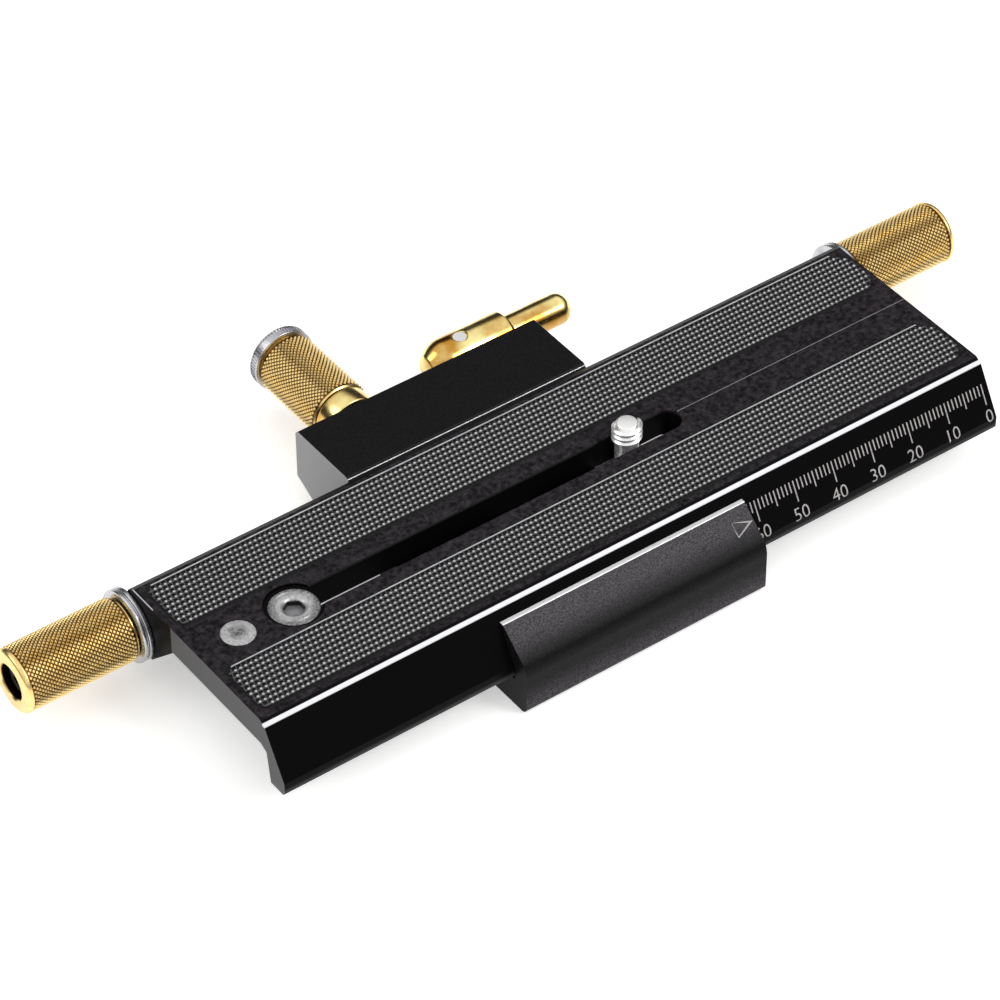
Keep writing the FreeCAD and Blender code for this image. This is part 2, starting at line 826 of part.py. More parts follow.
def lock_knob():
    """The lock knob's barrel, grooved where its end ring sits."""
    face = V(lock_x, block_rear_y, mechanism_z)
    bore = spindle_radius + seat_clearance
    barrel = lock_knob_start()
    end = barrel + lock_knob_length
    profile = [
        (barrel, bore),
        (barrel, lock_knob_radius),
        (end, lock_knob_radius),
        (end, ring_groove_radius),
        (end + ring_groove, ring_groove_radius),
        (end + ring_groove, bore),
    ]
    return turned(profile, face, Y_AXIS)


def knob_end_ring():
    """The serrated ring that closes the lock knob's outer end."""
    face = V(lock_x, block_rear_y, mechanism_z)
    start = lock_knob_start() + lock_knob_length + ring_groove
    end = start + ring_length
    profile = [
        (start, 0),
        (start, ring_radius),
        (end, ring_radius),
        (end, 0),
    ]
    return turned(profile, face, Y_AXIS)


def lock_spindle():
    """The lock knob's threaded spindle, drawn plain, from the brake shoe to the ring."""
    front_y = channel_half + shoe_set_back + shoe_depth + end_gap / 3
    end = block_rear_y + lock_knob_start() + lock_knob_length + ring_groove
    return rod(spindle_radius, V(lock_x, front_y, mechanism_z), V(lock_x, end, mechanism_z))


def brake_shoe():
    """The shoe that the lock presses against the rail's rear flank."""
    return extrude_x(shoe_section(0.0, 0.0), lock_x - shoe_width / 2, lock_x + shoe_width / 2)


nodes = {
    "carriage_body": carriage_body(),
    "tripod_bush": tripod_bush(),
    "lock_collar": lock_collar(),
    "rod_guide_bush": rod_guide_bush(),
    "release_spring": release_spring(),
    "rail_plate": rail_plate(),
    "front_grip_strip": grip_strip(-1),
    "rear_grip_strip": grip_strip(1),
    "slot_plug_screw": slot_plug_screw(),
    "locating_plug": locating_plug(),
    "left_screw_bush": flanged_bush(-1),
    "right_screw_bush": flanged_bush(1),
    "lead_screw": lead_screw(),
    "left_drive_knob": drive_knob(-1),
    "right_drive_knob": drive_knob(1),
    "knob_screws": Part.makeCompound([knob_screw(-1), knob_screw(1)]),
    "camera_screw_washer": camera_screw_washer(),
    "camera_screw": camera_screw(),
    "half_nut": half_nut(),
    "pull_rod": pull_rod(),
    "lever_pin": lever_pin(),
    "release_lever": release_lever(),
    "brake_shoe": brake_shoe(),
    "lock_spindle": lock_spindle(),
    "lock_knob": lock_knob(),
    "knob_end_ring": knob_end_ring(),
}

os.makedirs("parts", exist_ok=True)
for name, shape in nodes.items():
    print(name, "valid" if shape.isValid() else "NOT VALID", len(shape.Solids), "solid", round(shape.Volume, 1))
    shape.exportStep("parts/" + name + ".step")
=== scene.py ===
"""Macro focusing rail: a black dovetail rail on a short carriage, with knurled brass knobs.

Lengths are written in millimetres and turned to metres by mm. X runs along the rail,
minus Y is the side with the scale, and the carriage stands on the floor at z = 0.
"""

import bmesh
import bpy
import json
import math
from mathutils import Matrix, Vector

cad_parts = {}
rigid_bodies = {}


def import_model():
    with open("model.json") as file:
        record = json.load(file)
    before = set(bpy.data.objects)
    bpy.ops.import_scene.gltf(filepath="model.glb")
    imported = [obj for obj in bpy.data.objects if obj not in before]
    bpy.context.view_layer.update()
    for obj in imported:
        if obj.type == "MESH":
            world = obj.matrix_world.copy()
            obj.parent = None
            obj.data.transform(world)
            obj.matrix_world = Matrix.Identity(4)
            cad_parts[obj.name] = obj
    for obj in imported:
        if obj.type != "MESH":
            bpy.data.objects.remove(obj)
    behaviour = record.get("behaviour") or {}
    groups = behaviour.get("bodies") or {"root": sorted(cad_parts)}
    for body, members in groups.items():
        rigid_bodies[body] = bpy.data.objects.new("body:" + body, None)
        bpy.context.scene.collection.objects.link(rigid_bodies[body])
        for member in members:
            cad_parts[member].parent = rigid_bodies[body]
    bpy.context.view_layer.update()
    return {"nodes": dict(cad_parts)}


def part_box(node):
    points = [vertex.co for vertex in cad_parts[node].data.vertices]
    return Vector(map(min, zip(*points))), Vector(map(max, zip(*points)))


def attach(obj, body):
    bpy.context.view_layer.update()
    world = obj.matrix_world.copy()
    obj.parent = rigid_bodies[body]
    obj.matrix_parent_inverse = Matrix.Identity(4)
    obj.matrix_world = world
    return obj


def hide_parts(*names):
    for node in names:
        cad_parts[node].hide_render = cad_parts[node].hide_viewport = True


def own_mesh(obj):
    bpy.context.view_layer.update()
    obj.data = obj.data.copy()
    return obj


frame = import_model()
mm = 0.001

# The view. The photograph looks down at the scale side from the front left, from nearly
# 0.9 m away with a long lens.
turn = math.radians(-36.048)
rise = math.radians(42.204)
roll = math.radians(-0.304)
back = Vector((math.sin(turn) * math.cos(rise), -math.cos(turn) * math.cos(rise), math.sin(rise)))
level = Vector((0, 0, 1)).cross(back).normalized()
upright = back.cross(level)
across = level * math.cos(roll) + upright * math.sin(roll)
above = upright * math.cos(roll) - level * math.sin(roll)
distance, aside, below = 885.02, 13.361, 6.106
lens_ratio = 4.4101
plate_middle = Vector((5.05, 0, 21.5))
stand = plate_middle + back * distance - across * aside - above * below
camera = bpy.data.objects.new("camera", bpy.data.cameras.new("camera"))
bpy.context.scene.collection.objects.link(camera)
camera.matrix_world = Matrix.Translation(stand * mm) @ Matrix((across, above, back)).transposed().to_4x4()
camera.data.sensor_width = 36
camera.data.lens = camera.data.sensor_width * lens_ratio
camera.data.clip_start = 0.05
camera.data.clip_end = 20
bpy.context.scene.camera = camera
bpy.context.scene.view_settings.view_transform = "Standard"

# The room. A matt white table runs out of sight on all sides under two wide soft lamps, one
# high on the front right and one behind on the left. The ceiling is bright and the walls
# are dim, which gives the metal its dark bands.


def tint(code):
    """An sRGB hex colour as the linear colour that Blender's sockets hold."""
    parts = [int(code[i:i + 2], 16) / 255 for i in (1, 3, 5)]
    return [c / 12.92 if c <= 0.04045 else ((c + 0.055) / 1.055) ** 2.4 for c in parts] + [1]


def add(tree, kind, inputs, **settings):
    """A new node with its settings, whose inputs are given a value or linked to a socket."""
    made = tree.nodes.new("ShaderNode" + kind)
    for name, value in settings.items():
        setattr(made, name, value)
    for name, value in inputs.items():
        if isinstance(value, bpy.types.NodeSocket):
            tree.links.new(value, made.inputs[name])
        else:
            made.inputs[name].default_value = value
    return made


def blank_material(name):
    """A material with an empty node tree, and the tree."""
    material = bpy.data.materials.new(name)
    material.use_nodes = True
    material.node_tree.nodes.clear()
    return material, material.node_tree


def unselect():
    """Leaves nothing selected, in object mode."""
    if bpy.context.object and bpy.context.object.mode != "OBJECT":
        bpy.ops.object.mode_set(mode="OBJECT")
    bpy.ops.object.select_all(action="DESELECT")


unselect()
bpy.ops.mesh.primitive_plane_add(size=6, location=(0, 0, -0.0001))
table = bpy.context.object
table.name = "table"
table_paint, tree = blank_material("matt_white_table")
rays = add(tree, "LightPath", {})
seen = add(tree, "Math", {
    0: rays.outputs["Is Camera Ray"], 1: rays.outputs["Is Glossy Ray"],
}, operation="MAXIMUM")
seen = add(tree, "Math", {0: seen.outputs[0], 1: rays.outputs["Is Transmission Ray"]}, operation="MAXIMUM")
lift = add(tree, "Math", {0: seen.outputs[0], 1: 0.45}, operation="MULTIPLY")
matt = add(tree, "BsdfDiffuse", {"Color": tint("#f4f4f2")})
glow = add(tree, "Emission", {"Color": tint("#ffffff"), "Strength": lift.outputs[0]})
both = add(tree, "AddShader", {0: matt.outputs[0], 1: glow.outputs[0]})
add(tree, "OutputMaterial", {"Surface": both.outputs[0]})
table.data.materials.append(table_paint)

for name, towards, power, spread in (
    ("front_lamp", (0.437, -0.602, 0.66), 1.0, 24),
    ("back_lamp", (-0.75, 0.55, 0.85), 0.4, 30),
):
    lamp = bpy.data.objects.new(name, bpy.data.lights.new(name, "SUN"))
    bpy.context.scene.collection.objects.link(lamp)
    lamp.rotation_mode = "QUATERNION"
    lamp.rotation_quaternion = Vector(towards).to_track_quat("Z", "Y")
    lamp.data.energy = power
    lamp.data.angle = math.radians(spread)

room = bpy.data.worlds.new("room")
bpy.context.scene.world = room
room.use_nodes = True
room.node_tree.nodes.clear()
tree = room.node_tree
heading = add(tree, "TexCoord", {}).outputs["Generated"]
facing = add(tree, "VectorMath", {0: heading, 1: (-0.1, -0.2, 0.95)}, operation="DOT_PRODUCT")
ceiling = add(tree, "MapRange", {
    "Value": facing.outputs["Value"], "From Min": 0.28, "From Max": 0.52, "To Min": 0.03, "To Max": 0.98,
}, interpolation_type="SMOOTHSTEP")
air = add(tree, "Background", {"Color": tint("#ffffff"), "Strength": ceiling.outputs[0]})
add(tree, "OutputWorld", {"Surface": air.outputs[0]})

# The carriage: an extruded aluminium channel cut to 60 mm, bead blasted, then anodised
# satin black. A bright line is painted along its top edges as a painted highlight.


def paint(node_name, material):
    """Gives every face of a CAD node one material."""
    piece = frame["nodes"][node_name]
    piece.data.materials.clear()
    piece.data.materials.append(material)


def within(tree, height, low, high, soft=0.04):
    """A mask that is 1 where a coordinate lies between two values in mm, with soft edges."""
    rising = add(tree, "MapRange", {
        "Value": height, "From Min": (low - soft) * mm, "From Max": (low + soft) * mm,
    })
    falling = add(tree, "MapRange", {
        "Value": height, "From Min": (high + soft) * mm, "From Max": (high - soft) * mm,
    })
    return add(tree, "Math", {0: rising.outputs[0], 1: falling.outputs[0]}, operation="MULTIPLY").outputs[0]


def patch(tree, place, x_range, y_range, z_range):
    """A mask over a box in the object, given as limits in mm."""
    split = add(tree, "SeparateXYZ", {"Vector": place}).outputs
    ranges = (x_range, y_range, z_range)
    masks = [within(tree, split[i], *limits) for i, limits in enumerate(ranges) if limits]
    while len(masks) > 1:
        masks.append(add(tree, "Math", {0: masks.pop(), 1: masks.pop()}, operation="MULTIPLY").outputs[0])
    return masks[0]


# Blasting leaves pits of about 0.15 mm that scatter the light; drawn at 0.3 mm to show.
# The block's end faces are painted a pale grey as a painted reflection. The jaw's bevel
# and foot are painted paler on the front, a painted reflection of the room.
carriage_end_x, jaw_top_z, bevel_top_y, block_edge_y = 30, 18.4, -26.063, 26.9
blasted_black, tree = blank_material("blasted_black_anodised_aluminium")
place = add(tree, "TexCoord", {}).outputs["Object"]
grain = add(tree, "TexNoise", {"Vector": place, "Scale": 3300, "Detail": 2, "Roughness": 0.6})
speckle = add(tree, "ValToRGB", {"Fac": grain.outputs["Fac"]})
speckle.color_ramp.elements[0].position = 0.38
speckle.color_ramp.elements[0].color = tint("#0e0d0e")
speckle.color_ramp.elements[1].position = 0.72
speckle.color_ramp.elements[1].color = tint("#1e1c1e")
# Painted reflection: the block's end faces are painted a pale grey.
left_end_reflection = patch(tree, place, (-carriage_end_x - 1, -carriage_end_x + 0.03), (20, 50), None)
right_end_reflection = patch(tree, place, (carriage_end_x - 0.03, carriage_end_x + 1), (20, 50), None)
end_reflection = add(tree, "Math", {0: left_end_reflection, 1: right_end_reflection}, operation="MAXIMUM")
coat = add(tree, "Mix", {
    "Factor": end_reflection.outputs[0], "A": speckle.outputs["Color"], "B": tint("#b4b4b6"),
}, data_type="RGBA")
height = add(tree, "SeparateXYZ", {"Vector": place}).outputs["Z"]
# Painted reflection: the jaw's front is painted paler on its bevel and towards its foot.
wear_and_sheen = add(tree, "ValToRGB", {"Fac": grain.outputs["Fac"]})
wear_and_sheen.color_ramp.elements[0].position = 0.36
wear_and_sheen.color_ramp.elements[0].color = tint("#29272a")
wear_and_sheen.color_ramp.elements[1].position = 0.66
wear_and_sheen.color_ramp.elements[1].color = tint("#5a565b")
bevel = add(tree, "MapRange", {
    "Value": height, "From Min": 12.6 * mm, "From Max": 16.5 * mm,
}, interpolation_type="SMOOTHSTEP")
foot = add(tree, "MapRange", {
    "Value": height, "From Min": 8 * mm, "From Max": 0,
}, interpolation_type="SMOOTHSTEP")
bevel_and_foot_sheen = add(tree, "Math", {0: bevel.outputs[0], 1: foot.outputs[0]}, operation="ADD")
front = patch(tree, place, (-carriage_end_x + 0.05, carriage_end_x - 0.05), (-35, -26.1), None)
bevel_and_foot_sheen = add(tree, "Math", {0: bevel_and_foot_sheen.outputs[0], 1: front}, operation="MULTIPLY")
coat = add(tree, "Mix", {
    "Factor": bevel_and_foot_sheen.outputs[0], "A": coat.outputs["Result"], "B": wear_and_sheen.outputs["Color"],
}, data_type="RGBA")
# Painted highlight: a bright line is painted along the jaw's top edge and the block's front top edge.
jaw_edge_highlight = patch(tree, place, None, (-40, -25.0), (jaw_top_z - 0.07, 19))
block_edge_highlight = patch(tree, place, None, (20, block_edge_y), (jaw_top_z - 0.5, 19))
edge_highlight = add(tree, "Math", {0: block_edge_highlight, 1: jaw_edge_highlight}, operation="MAXIMUM")
skin = add(tree, "Mix", {
    "Factor": edge_highlight.outputs[0], "A": coat.outputs["Result"], "B": tint("#e6e6e7"),
}, data_type="RGBA")
pits = add(tree, "Bump", {"Height": grain.outputs["Fac"], "Strength": 0.8, "Distance": 0.06 * mm})
shade = add(tree, "MapRange", {"Value": edge_highlight.outputs[0], "To Min": 0.36, "To Max": 0.3})
metal = add(tree, "Math", {0: edge_highlight.outputs[0], 1: 0.5}, operation="MULTIPLY")
shader = add(tree, "BsdfPrincipled", {
    "Base Color": skin.outputs["Result"], "Roughness": shade.outputs[0], "Metallic": metal.outputs[0],
    "Normal": pits.outputs[0], "IOR": 1.16,
})
add(tree, "OutputMaterial", {"Surface": shader.outputs[0]})
paint("carriage_body", blasted_black)

# The tripod bush: a turned steel bush pressed into the floor from above, with the 3/8 inch
# thread. Fine tool marks show on its faces.
# Free-cutting steel off the lathe: a grey metal with a fine, uneven grain.
turned_steel, tree = blank_material("turned_bright_steel")
place = add(tree, "TexCoord", {}).outputs["Object"]
drift = add(tree, "TexNoise", {"Vector": place, "Scale": 260, "Detail": 3, "Roughness": 0.5})
tone = add(tree, "Mix", {
    "Factor": drift.outputs["Fac"], "A": tint("#a2a2a6"), "B": tint("#dcdce0"),
}, data_type="RGBA")
fine = add(tree, "TexNoise", {"Vector": place, "Scale": 2400, "Detail": 1})
wear_and_sheen = add(tree, "MapRange", {"Value": fine.outputs["Fac"], "To Min": 0.2, "To Max": 0.36})
tool_marks = add(tree, "Bump", {"Height": fine.outputs["Fac"], "Strength": 0.12, "Distance": 0.03 * mm})
shader = add(tree, "BsdfPrincipled", {
    "Base Color": tone.outputs["Result"], "Metallic": 1.0,
    "Roughness": wear_and_sheen.outputs[0], "Normal": tool_marks.outputs[0],
})
add(tree, "OutputMaterial", {"Surface": shader.outputs[0]})
paint("tripod_bush", turned_steel)

# The rail: an aluminium extrusion with dovetail flanks, milled along its slot and edges,
# anodised black. A painted highlight runs along the front top chamfer, and the front
# flange's end faces are painted paler as a painted reflection.
# Extrusion leaves fine lines along X, about 0.2 mm apart, under a smooth oxide coat. The
# top is mottled by handling and the flanks' feet are painted paler, a painted reflection.
left_face_x, right_face_x, plate_top_z, rail_foot_z = -84.1, 94.2, 21.5, 6.9
thick_section_y, plate_edge_y = 8.7, -22.72
drawn_black, tree = blank_material("drawn_black_anodised_aluminium")
place = add(tree, "TexCoord", {}).outputs["Object"]
stretch = add(tree, "Mapping", {"Vector": place, "Scale": (60, 5000, 5000)})
lines = add(tree, "TexNoise", {"Vector": stretch.outputs[0], "Scale": 1, "Detail": 2})
cloud = add(tree, "TexNoise", {"Vector": place, "Scale": 900, "Detail": 3, "Roughness": 0.65})
mottle = add(tree, "ValToRGB", {"Fac": cloud.outputs["Fac"]})
mottle.color_ramp.elements[0].position = 0.35
mottle.color_ramp.elements[0].color = tint("#131113")
mottle.color_ramp.elements[1].position = 0.7
mottle.color_ramp.elements[1].color = tint("#383438")
# Painted reflection: the end faces of the rail's front section are painted a paler grey.
left_end_reflection = patch(tree, place, (-85, left_face_x + 0.03), (-40, thick_section_y), None)
right_end_reflection = patch(tree, place, (right_face_x - 0.03, 95), (-40, thick_section_y), None)
end_reflection = add(tree, "Math", {0: left_end_reflection, 1: right_end_reflection}, operation="MAXIMUM")
height = add(tree, "SeparateXYZ", {"Vector": place}).outputs["Z"]
top = add(tree, "MapRange", {
    "Value": height, "From Min": (plate_top_z - 0.2) * mm, "From Max": (plate_top_z - 0.05) * mm,
})
# Painted reflection: the flanks are painted paler towards their feet.
foot = add(tree, "MapRange", {
    "Value": height, "From Min": (rail_foot_z + 1.9) * mm, "From Max": rail_foot_z * mm,
})
coat = add(tree, "Mix", {
    "Factor": foot.outputs[0], "A": tint("#0b0a0b"), "B": tint("#5c5a5c"),
}, data_type="RGBA")
coat = add(tree, "Mix", {
    "Factor": top.outputs[0], "A": coat.outputs["Result"], "B": mottle.outputs["Color"],
}, data_type="RGBA")
coat = add(tree, "Mix", {
    "Factor": end_reflection.outputs[0], "A": coat.outputs["Result"], "B": tint("#6a6a6c"),
}, data_type="RGBA")
# Painted highlight: a bright band is painted on the front top chamfer and on the rear part of the left end's
# top edge.
chamfer_highlight = patch(tree, place, None, (-24, plate_edge_y - 0.24), (20.45, 22))
corner = patch(tree, place, (left_face_x + 0.02, left_face_x + 0.2), (15, 22.5), (21.3, 22))
bright = add(tree, "Math", {0: chamfer_highlight, 1: corner}, operation="MAXIMUM")
skin = add(tree, "Mix", {
    "Factor": bright.outputs[0], "A": coat.outputs["Result"], "B": tint("#d6d6d8"),
}, data_type="RGBA")
metal = add(tree, "Math", {0: bright.outputs[0], 1: 0.5}, operation="MULTIPLY")
groove = add(tree, "Bump", {"Height": lines.outputs["Fac"], "Strength": 0.12, "Distance": 0.02 * mm})
shader = add(tree, "BsdfPrincipled", {
    "Base Color": skin.outputs["Result"], "Metallic": metal.outputs[0], "Roughness": 0.32,
    "Normal": groove.outputs[0], "IOR": 1.1,
})
add(tree, "OutputMaterial", {"Surface": shader.outputs[0]})
paint("rail_plate", drawn_black)

# The grip strips: two moulded rubber strips glued into shallow recesses of the plate. Nine
# rows of small studs stand on low crossed ribs, with a lip along the rear edge, and the
# tips carry a painted highlight, with painted shade in the valleys.


def selected_by(piece, test, kind="faces"):
    """In edit mode, selects just the faces, edges or vertices whose middle passes a test."""
    shape = bmesh.from_edit_mesh(piece.data)
    for group in (shape.faces, shape.edges, shape.verts):
        for part in group:
            part.select_set(False)
    for part in getattr(shape, kind):
        if kind == "verts":
            middle = part.co
        elif kind == "edges":
            middle = (part.verts[0].co + part.verts[1].co) / 2
        else:
            middle = part.calc_center_median()
        if test(middle / mm, part):
            part.select_set(True)
    bmesh.update_edit_mesh(piece.data)


def editing(piece):
    """Makes one piece the only selected one and opens its mesh."""
    unselect()
    piece.select_set(True)
    bpy.context.view_layer.objects.active = piece
    bpy.ops.object.mode_set(mode="EDIT")


def settle(piece, angle=30):
    """Puts a piece's place into its mesh, and smooths the faces that meet gently."""
    unselect()
    piece.select_set(True)
    bpy.context.view_layer.objects.active = piece
    bpy.ops.object.transform_apply(location=True, rotation=True, scale=True)
    bpy.ops.object.shade_smooth_by_angle(angle=math.radians(angle))


def join(pieces):
    """Joins pieces into the first of them."""
    unselect()
    for piece in pieces:
        piece.select_set(True)
    bpy.context.view_layer.objects.active = pieces[0]
    bpy.ops.object.join()
    return pieces[0]


def repeat(piece, step, count):
    """Repeats a piece count times, a step in mm apart."""
    unselect()
    piece.select_set(True)
    bpy.context.view_layer.objects.active = piece
    row = piece.modifiers.new("row", "ARRAY")
    row.use_relative_offset = False
    row.use_constant_offset = True
    row.constant_offset_displace = Vector(step) * mm
    row.count = count
    bpy.ops.object.modifier_apply(modifier="row")


def bar(low, high):
    """A straight bar between two corners in mm, with its place in its mesh."""
    unselect()
    low, high = Vector(low), Vector(high)
    bpy.ops.mesh.primitive_cube_add(size=mm, location=(low + high) / 2 * mm)
    piece = bpy.context.object
    piece.scale = high - low
    settle(piece)
    return piece


# Moulded rubber: matt, with painted shade near black in the valleys and a painted highlight on ribs and
# studs.
stud_rubber, tree = blank_material("moulded_black_rubber")
place = add(tree, "TexCoord", {}).outputs["Object"]
dust = add(tree, "TexNoise", {"Vector": place, "Scale": 900, "Detail": 3, "Roughness": 0.7})
along = add(tree, "SeparateXYZ", {"Vector": place})
# Painted shade and highlight by height: near black in the valleys, grey on the ribs, pale on the stud tips.
ribs = add(tree, "MapRange", {"Value": along.outputs["Z"], "From Min": 21.62 * mm, "From Max": 21.82 * mm})
tips = add(tree, "MapRange", {"Value": along.outputs["Z"], "From Min": 21.86 * mm, "From Max": 21.96 * mm})
tip_highlight = add(tree, "Mix", {
    "Factor": dust.outputs["Fac"], "A": tint("#767678"), "B": tint("#e2e2e4"),
}, data_type="RGBA")
skin = add(tree, "Mix", {
    "Factor": ribs.outputs[0], "A": tint("#040404"), "B": tint("#4e4d4f"),
}, data_type="RGBA")
skin = add(tree, "Mix", {
    "Factor": tips.outputs[0], "A": skin.outputs["Result"], "B": tip_highlight.outputs["Result"],
}, data_type="RGBA")
rough = add(tree, "MapRange", {"Value": dust.outputs["Fac"], "To Min": 0.55, "To Max": 0.8})
shader = add(tree, "BsdfPrincipled", {
    "Base Color": skin.outputs["Result"], "Roughness": rough.outputs[0], "IOR": 1.4,
})
add(tree, "OutputMaterial", {"Surface": shader.outputs[0]})

stud_pitch, row_pitch, row_shift, rows = 1.17, 1.4, 0.47, 9
stud_foot, stud_tip, stud_height = 0.44, 0.27, 0.35
valley_depth, first_row = 0.45, 0.95
row_half_width, row_rise = 0.22, 0.27
rib_half_width, rib_rise = 0.13, 0.22
rim, cut_left, cut_right = 0.3, 1.5, 3.0
for node_name in ("front_grip_strip", "rear_grip_strip"):
    low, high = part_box(node_name)
    low, high = low / mm, high / mm
    valley = high.z - valley_depth
    first_y = low.y + first_row
    base = bar(low, (high.x, high.y, valley))
    span = high.x - low.x
    columns = int((span + rows * row_shift) / stud_pitch) + 1
    row_bars = bar(
        (low.x, first_y - row_half_width, valley - 0.1),
        (high.x, first_y + row_half_width, valley + row_rise),
    )
    repeat(row_bars, (0, row_pitch, 0), rows)
    slant = bar(
        (low.x - rib_half_width, low.y, valley - 0.1), (low.x + rib_half_width, high.y, valley + rib_rise),
    )
    editing(slant)
    selected_by(slant, lambda middle, face: face.normal.y > 0.9)
    bpy.ops.transform.translate(value=((high.y - low.y) / row_pitch * row_shift * mm, 0, 0))
    bpy.ops.mesh.select_all(action="SELECT")
    bpy.ops.mesh.bisect(
        plane_co=(0, (first_y - rim) * mm, 0), plane_no=(0, -1, 0), clear_outer=True, use_fill=True,
    )
    unselect()
    repeat(slant, (stud_pitch, 0, 0), columns + 4)
    editing(slant)
    bpy.ops.mesh.select_all(action="SELECT")
    bpy.ops.transform.translate(value=(-(rows * row_shift) * mm, 0, 0))
    unselect()
    lip = bar((low.x, high.y - 0.34, valley - 0.1), (high.x, high.y - 0.08, high.z))
    grid = join([row_bars, slant, lip])
    for piece, inset in ((base, 0.0), (grid, rim)):
        for side_x, out_x, cut in ((low.x, -1, cut_left), (high.x, 1, cut_right)):
            cuts = [(Vector((side_x - out_x * inset, 0, 0)), Vector((out_x, 0, 0)))]
            for side_y, out_y in ((low.y, -1), (high.y, 1)):
                corner = Vector((side_x - out_x * (cut + inset * 1.4), side_y, 0))
                cuts.append((corner, Vector((out_x, out_y, 0))))
            for point, out in cuts if inset else cuts[1:]:
                editing(piece)
                bpy.ops.mesh.select_all(action="SELECT")
                bpy.ops.mesh.bisect(plane_co=point * mm, plane_no=out, clear_outer=True, use_fill=True)
    unselect()
    bpy.ops.mesh.primitive_cone_add(
        vertices=6, radius1=stud_foot * mm, radius2=stud_tip * mm, depth=stud_height * mm,
        location=((low.x - rows * row_shift) * mm, first_y * mm, (high.z - stud_height / 2) * mm),
    )
    studs = bpy.context.object
    settle(studs)
    repeat(studs, (stud_pitch, 0, 0), columns + 4)
    repeat(studs, (row_shift, row_pitch, 0), rows)
    editing(studs)

    def outside(point, part):
        """True beyond the strip's ends and cut corners."""
        from_side = min(point.y - low.y, high.y - point.y)
        from_left, from_right = point.x - low.x, high.x - point.x
        in_corner = from_left + from_side < cut_left + 0.5 or from_right + from_side < cut_right + 0.5
        return in_corner or min(from_left, from_right) < rim

    selected_by(studs, outside, "verts")
    bpy.ops.mesh.select_linked()
    bpy.ops.mesh.delete(type="VERT")
    strip = join([base, grid, studs])
    strip.name = node_name + "_studded"
    strip.data.materials.clear()
    strip.data.materials.append(stud_rubber)
    settle(strip, 20)
    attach(strip, "rail")
    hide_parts(node_name)

# The keyhole plug and the locating disc: steel discs faced off on a lathe, the plug with a
# hex socket, both sitting just under the plate's top. Facing leaves rings on them.


def turned(name, profile, origin, axis, steps):
    """A turned piece from (along, radius) corners in mm; a third number rounds a corner."""
    unselect()
    bpy.ops.mesh.primitive_plane_add(size=mm)
    piece = bpy.context.object
    piece.name = name
    editing(piece)
    bpy.ops.mesh.merge(type="CENTER")
    axis = Vector(axis)
    side = Vector((0, 0, 1)) if abs(axis.z) < 0.5 else Vector((1, 0, 0))
    points = [Vector(origin) + axis * corner[0] + side * corner[1] for corner in profile]
    bpy.ops.transform.translate(value=points[0] * mm)
    for here, there in zip(points, points[1:]):
        bpy.ops.mesh.extrude_region_move(TRANSFORM_OT_translate={"value": (there - here) * mm})
    for point, corner in zip(points, profile):
        if len(corner) == 3:
            selected_by(piece, lambda middle, vertex: (middle - point).length < 0.004, "verts")
            bpy.ops.mesh.bevel(offset=corner[2] * mm, segments=5, affect="VERTICES")
    bpy.ops.mesh.select_all(action="SELECT")
    bpy.ops.mesh.spin(steps=steps, angle=math.tau, center=Vector(origin) * mm, axis=axis)
    bpy.ops.mesh.select_all(action="SELECT")
    bpy.ops.mesh.remove_doubles(threshold=0.001 * mm)
    bpy.ops.mesh.normals_make_consistent(inside=False)
    return piece


def carve(piece, cutter):
    """Takes the cutter's shape out of a piece and drops the cutter."""
    unselect()
    piece.select_set(True)
    bpy.context.view_layer.objects.active = piece
    hole = piece.modifiers.new("hole", "BOOLEAN")
    hole.object = cutter
    bpy.ops.object.modifier_apply(modifier="hole")
    bpy.data.objects.remove(cutter)


def finish(piece, material, body, node_name, angle=30):
    """Gives a finished piece its material, its body and the CAD node that it stands for."""
    piece.data.materials.clear()
    piece.data.materials.append(material)
    settle(piece, angle)
    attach(piece, body)
    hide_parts(node_name)


def ringed_steel(name, middle, spacing):
    """Lathe-faced steel: rings of a spacing in mm round an upright axis, with painted shade darkening the
    walls of its socket.
    """
    material, tree = blank_material(name)
    place = add(tree, "TexCoord", {}).outputs["Object"]
    centred = add(tree, "Mapping", {"Vector": place, "Location": [-c * mm for c in middle]})
    wave = add(tree, "TexWave", {
        "Vector": centred.outputs[0], "Scale": 0.05 / (spacing * mm), "Distortion": 1.2,
        "Detail": 2, "Detail Scale": 3,
    }, wave_type="RINGS", rings_direction="Z")
    cloud = add(tree, "TexNoise", {"Vector": place, "Scale": 1700, "Detail": 3, "Roughness": 0.75})
    mixed = add(tree, "Mix", {"Factor": 0.7, "A": wave.outputs["Fac"], "B": cloud.outputs["Fac"]})
    spots = add(tree, "MapRange", {"Value": mixed.outputs["Result"], "From Min": 0.28, "From Max": 0.72})
    tone = add(tree, "Mix", {
        "Factor": spots.outputs[0], "A": tint("#3a3a3c"), "B": tint("#c6c6c6"),
    }, data_type="RGBA")
    height = add(tree, "SeparateXYZ", {"Vector": place}).outputs["Z"]
    # Painted shade: darker just under the top face, over the socket's walls, and mid grey deeper down.
    for start, end, shade in ((0.3, 0.5, "#1c1c1e"), (1.5, 1.7, "#8e8e90")):
        socket_shade = add(tree, "MapRange", {
            "Value": height, "From Min": (middle[2] - start) * mm, "From Max": (middle[2] - end) * mm,
        })
        tone = add(tree, "Mix", {
            "Factor": socket_shade.outputs[0], "A": tone.outputs["Result"], "B": tint(shade),
        }, data_type="RGBA")
    wear_and_sheen = add(tree, "MapRange", {"Value": cloud.outputs["Fac"], "To Min": 0.3, "To Max": 0.5})
    cuts = add(tree, "Bump", {"Height": mixed.outputs["Result"], "Strength": 0.6, "Distance": 0.08 * mm})
    shader = add(tree, "BsdfPrincipled", {
        "Base Color": tone.outputs["Result"], "Metallic": 0.5,
        "Roughness": wear_and_sheen.outputs[0], "Normal": cuts.outputs[0],
    })
    add(tree, "OutputMaterial", {"Surface": shader.outputs[0]})
    return material


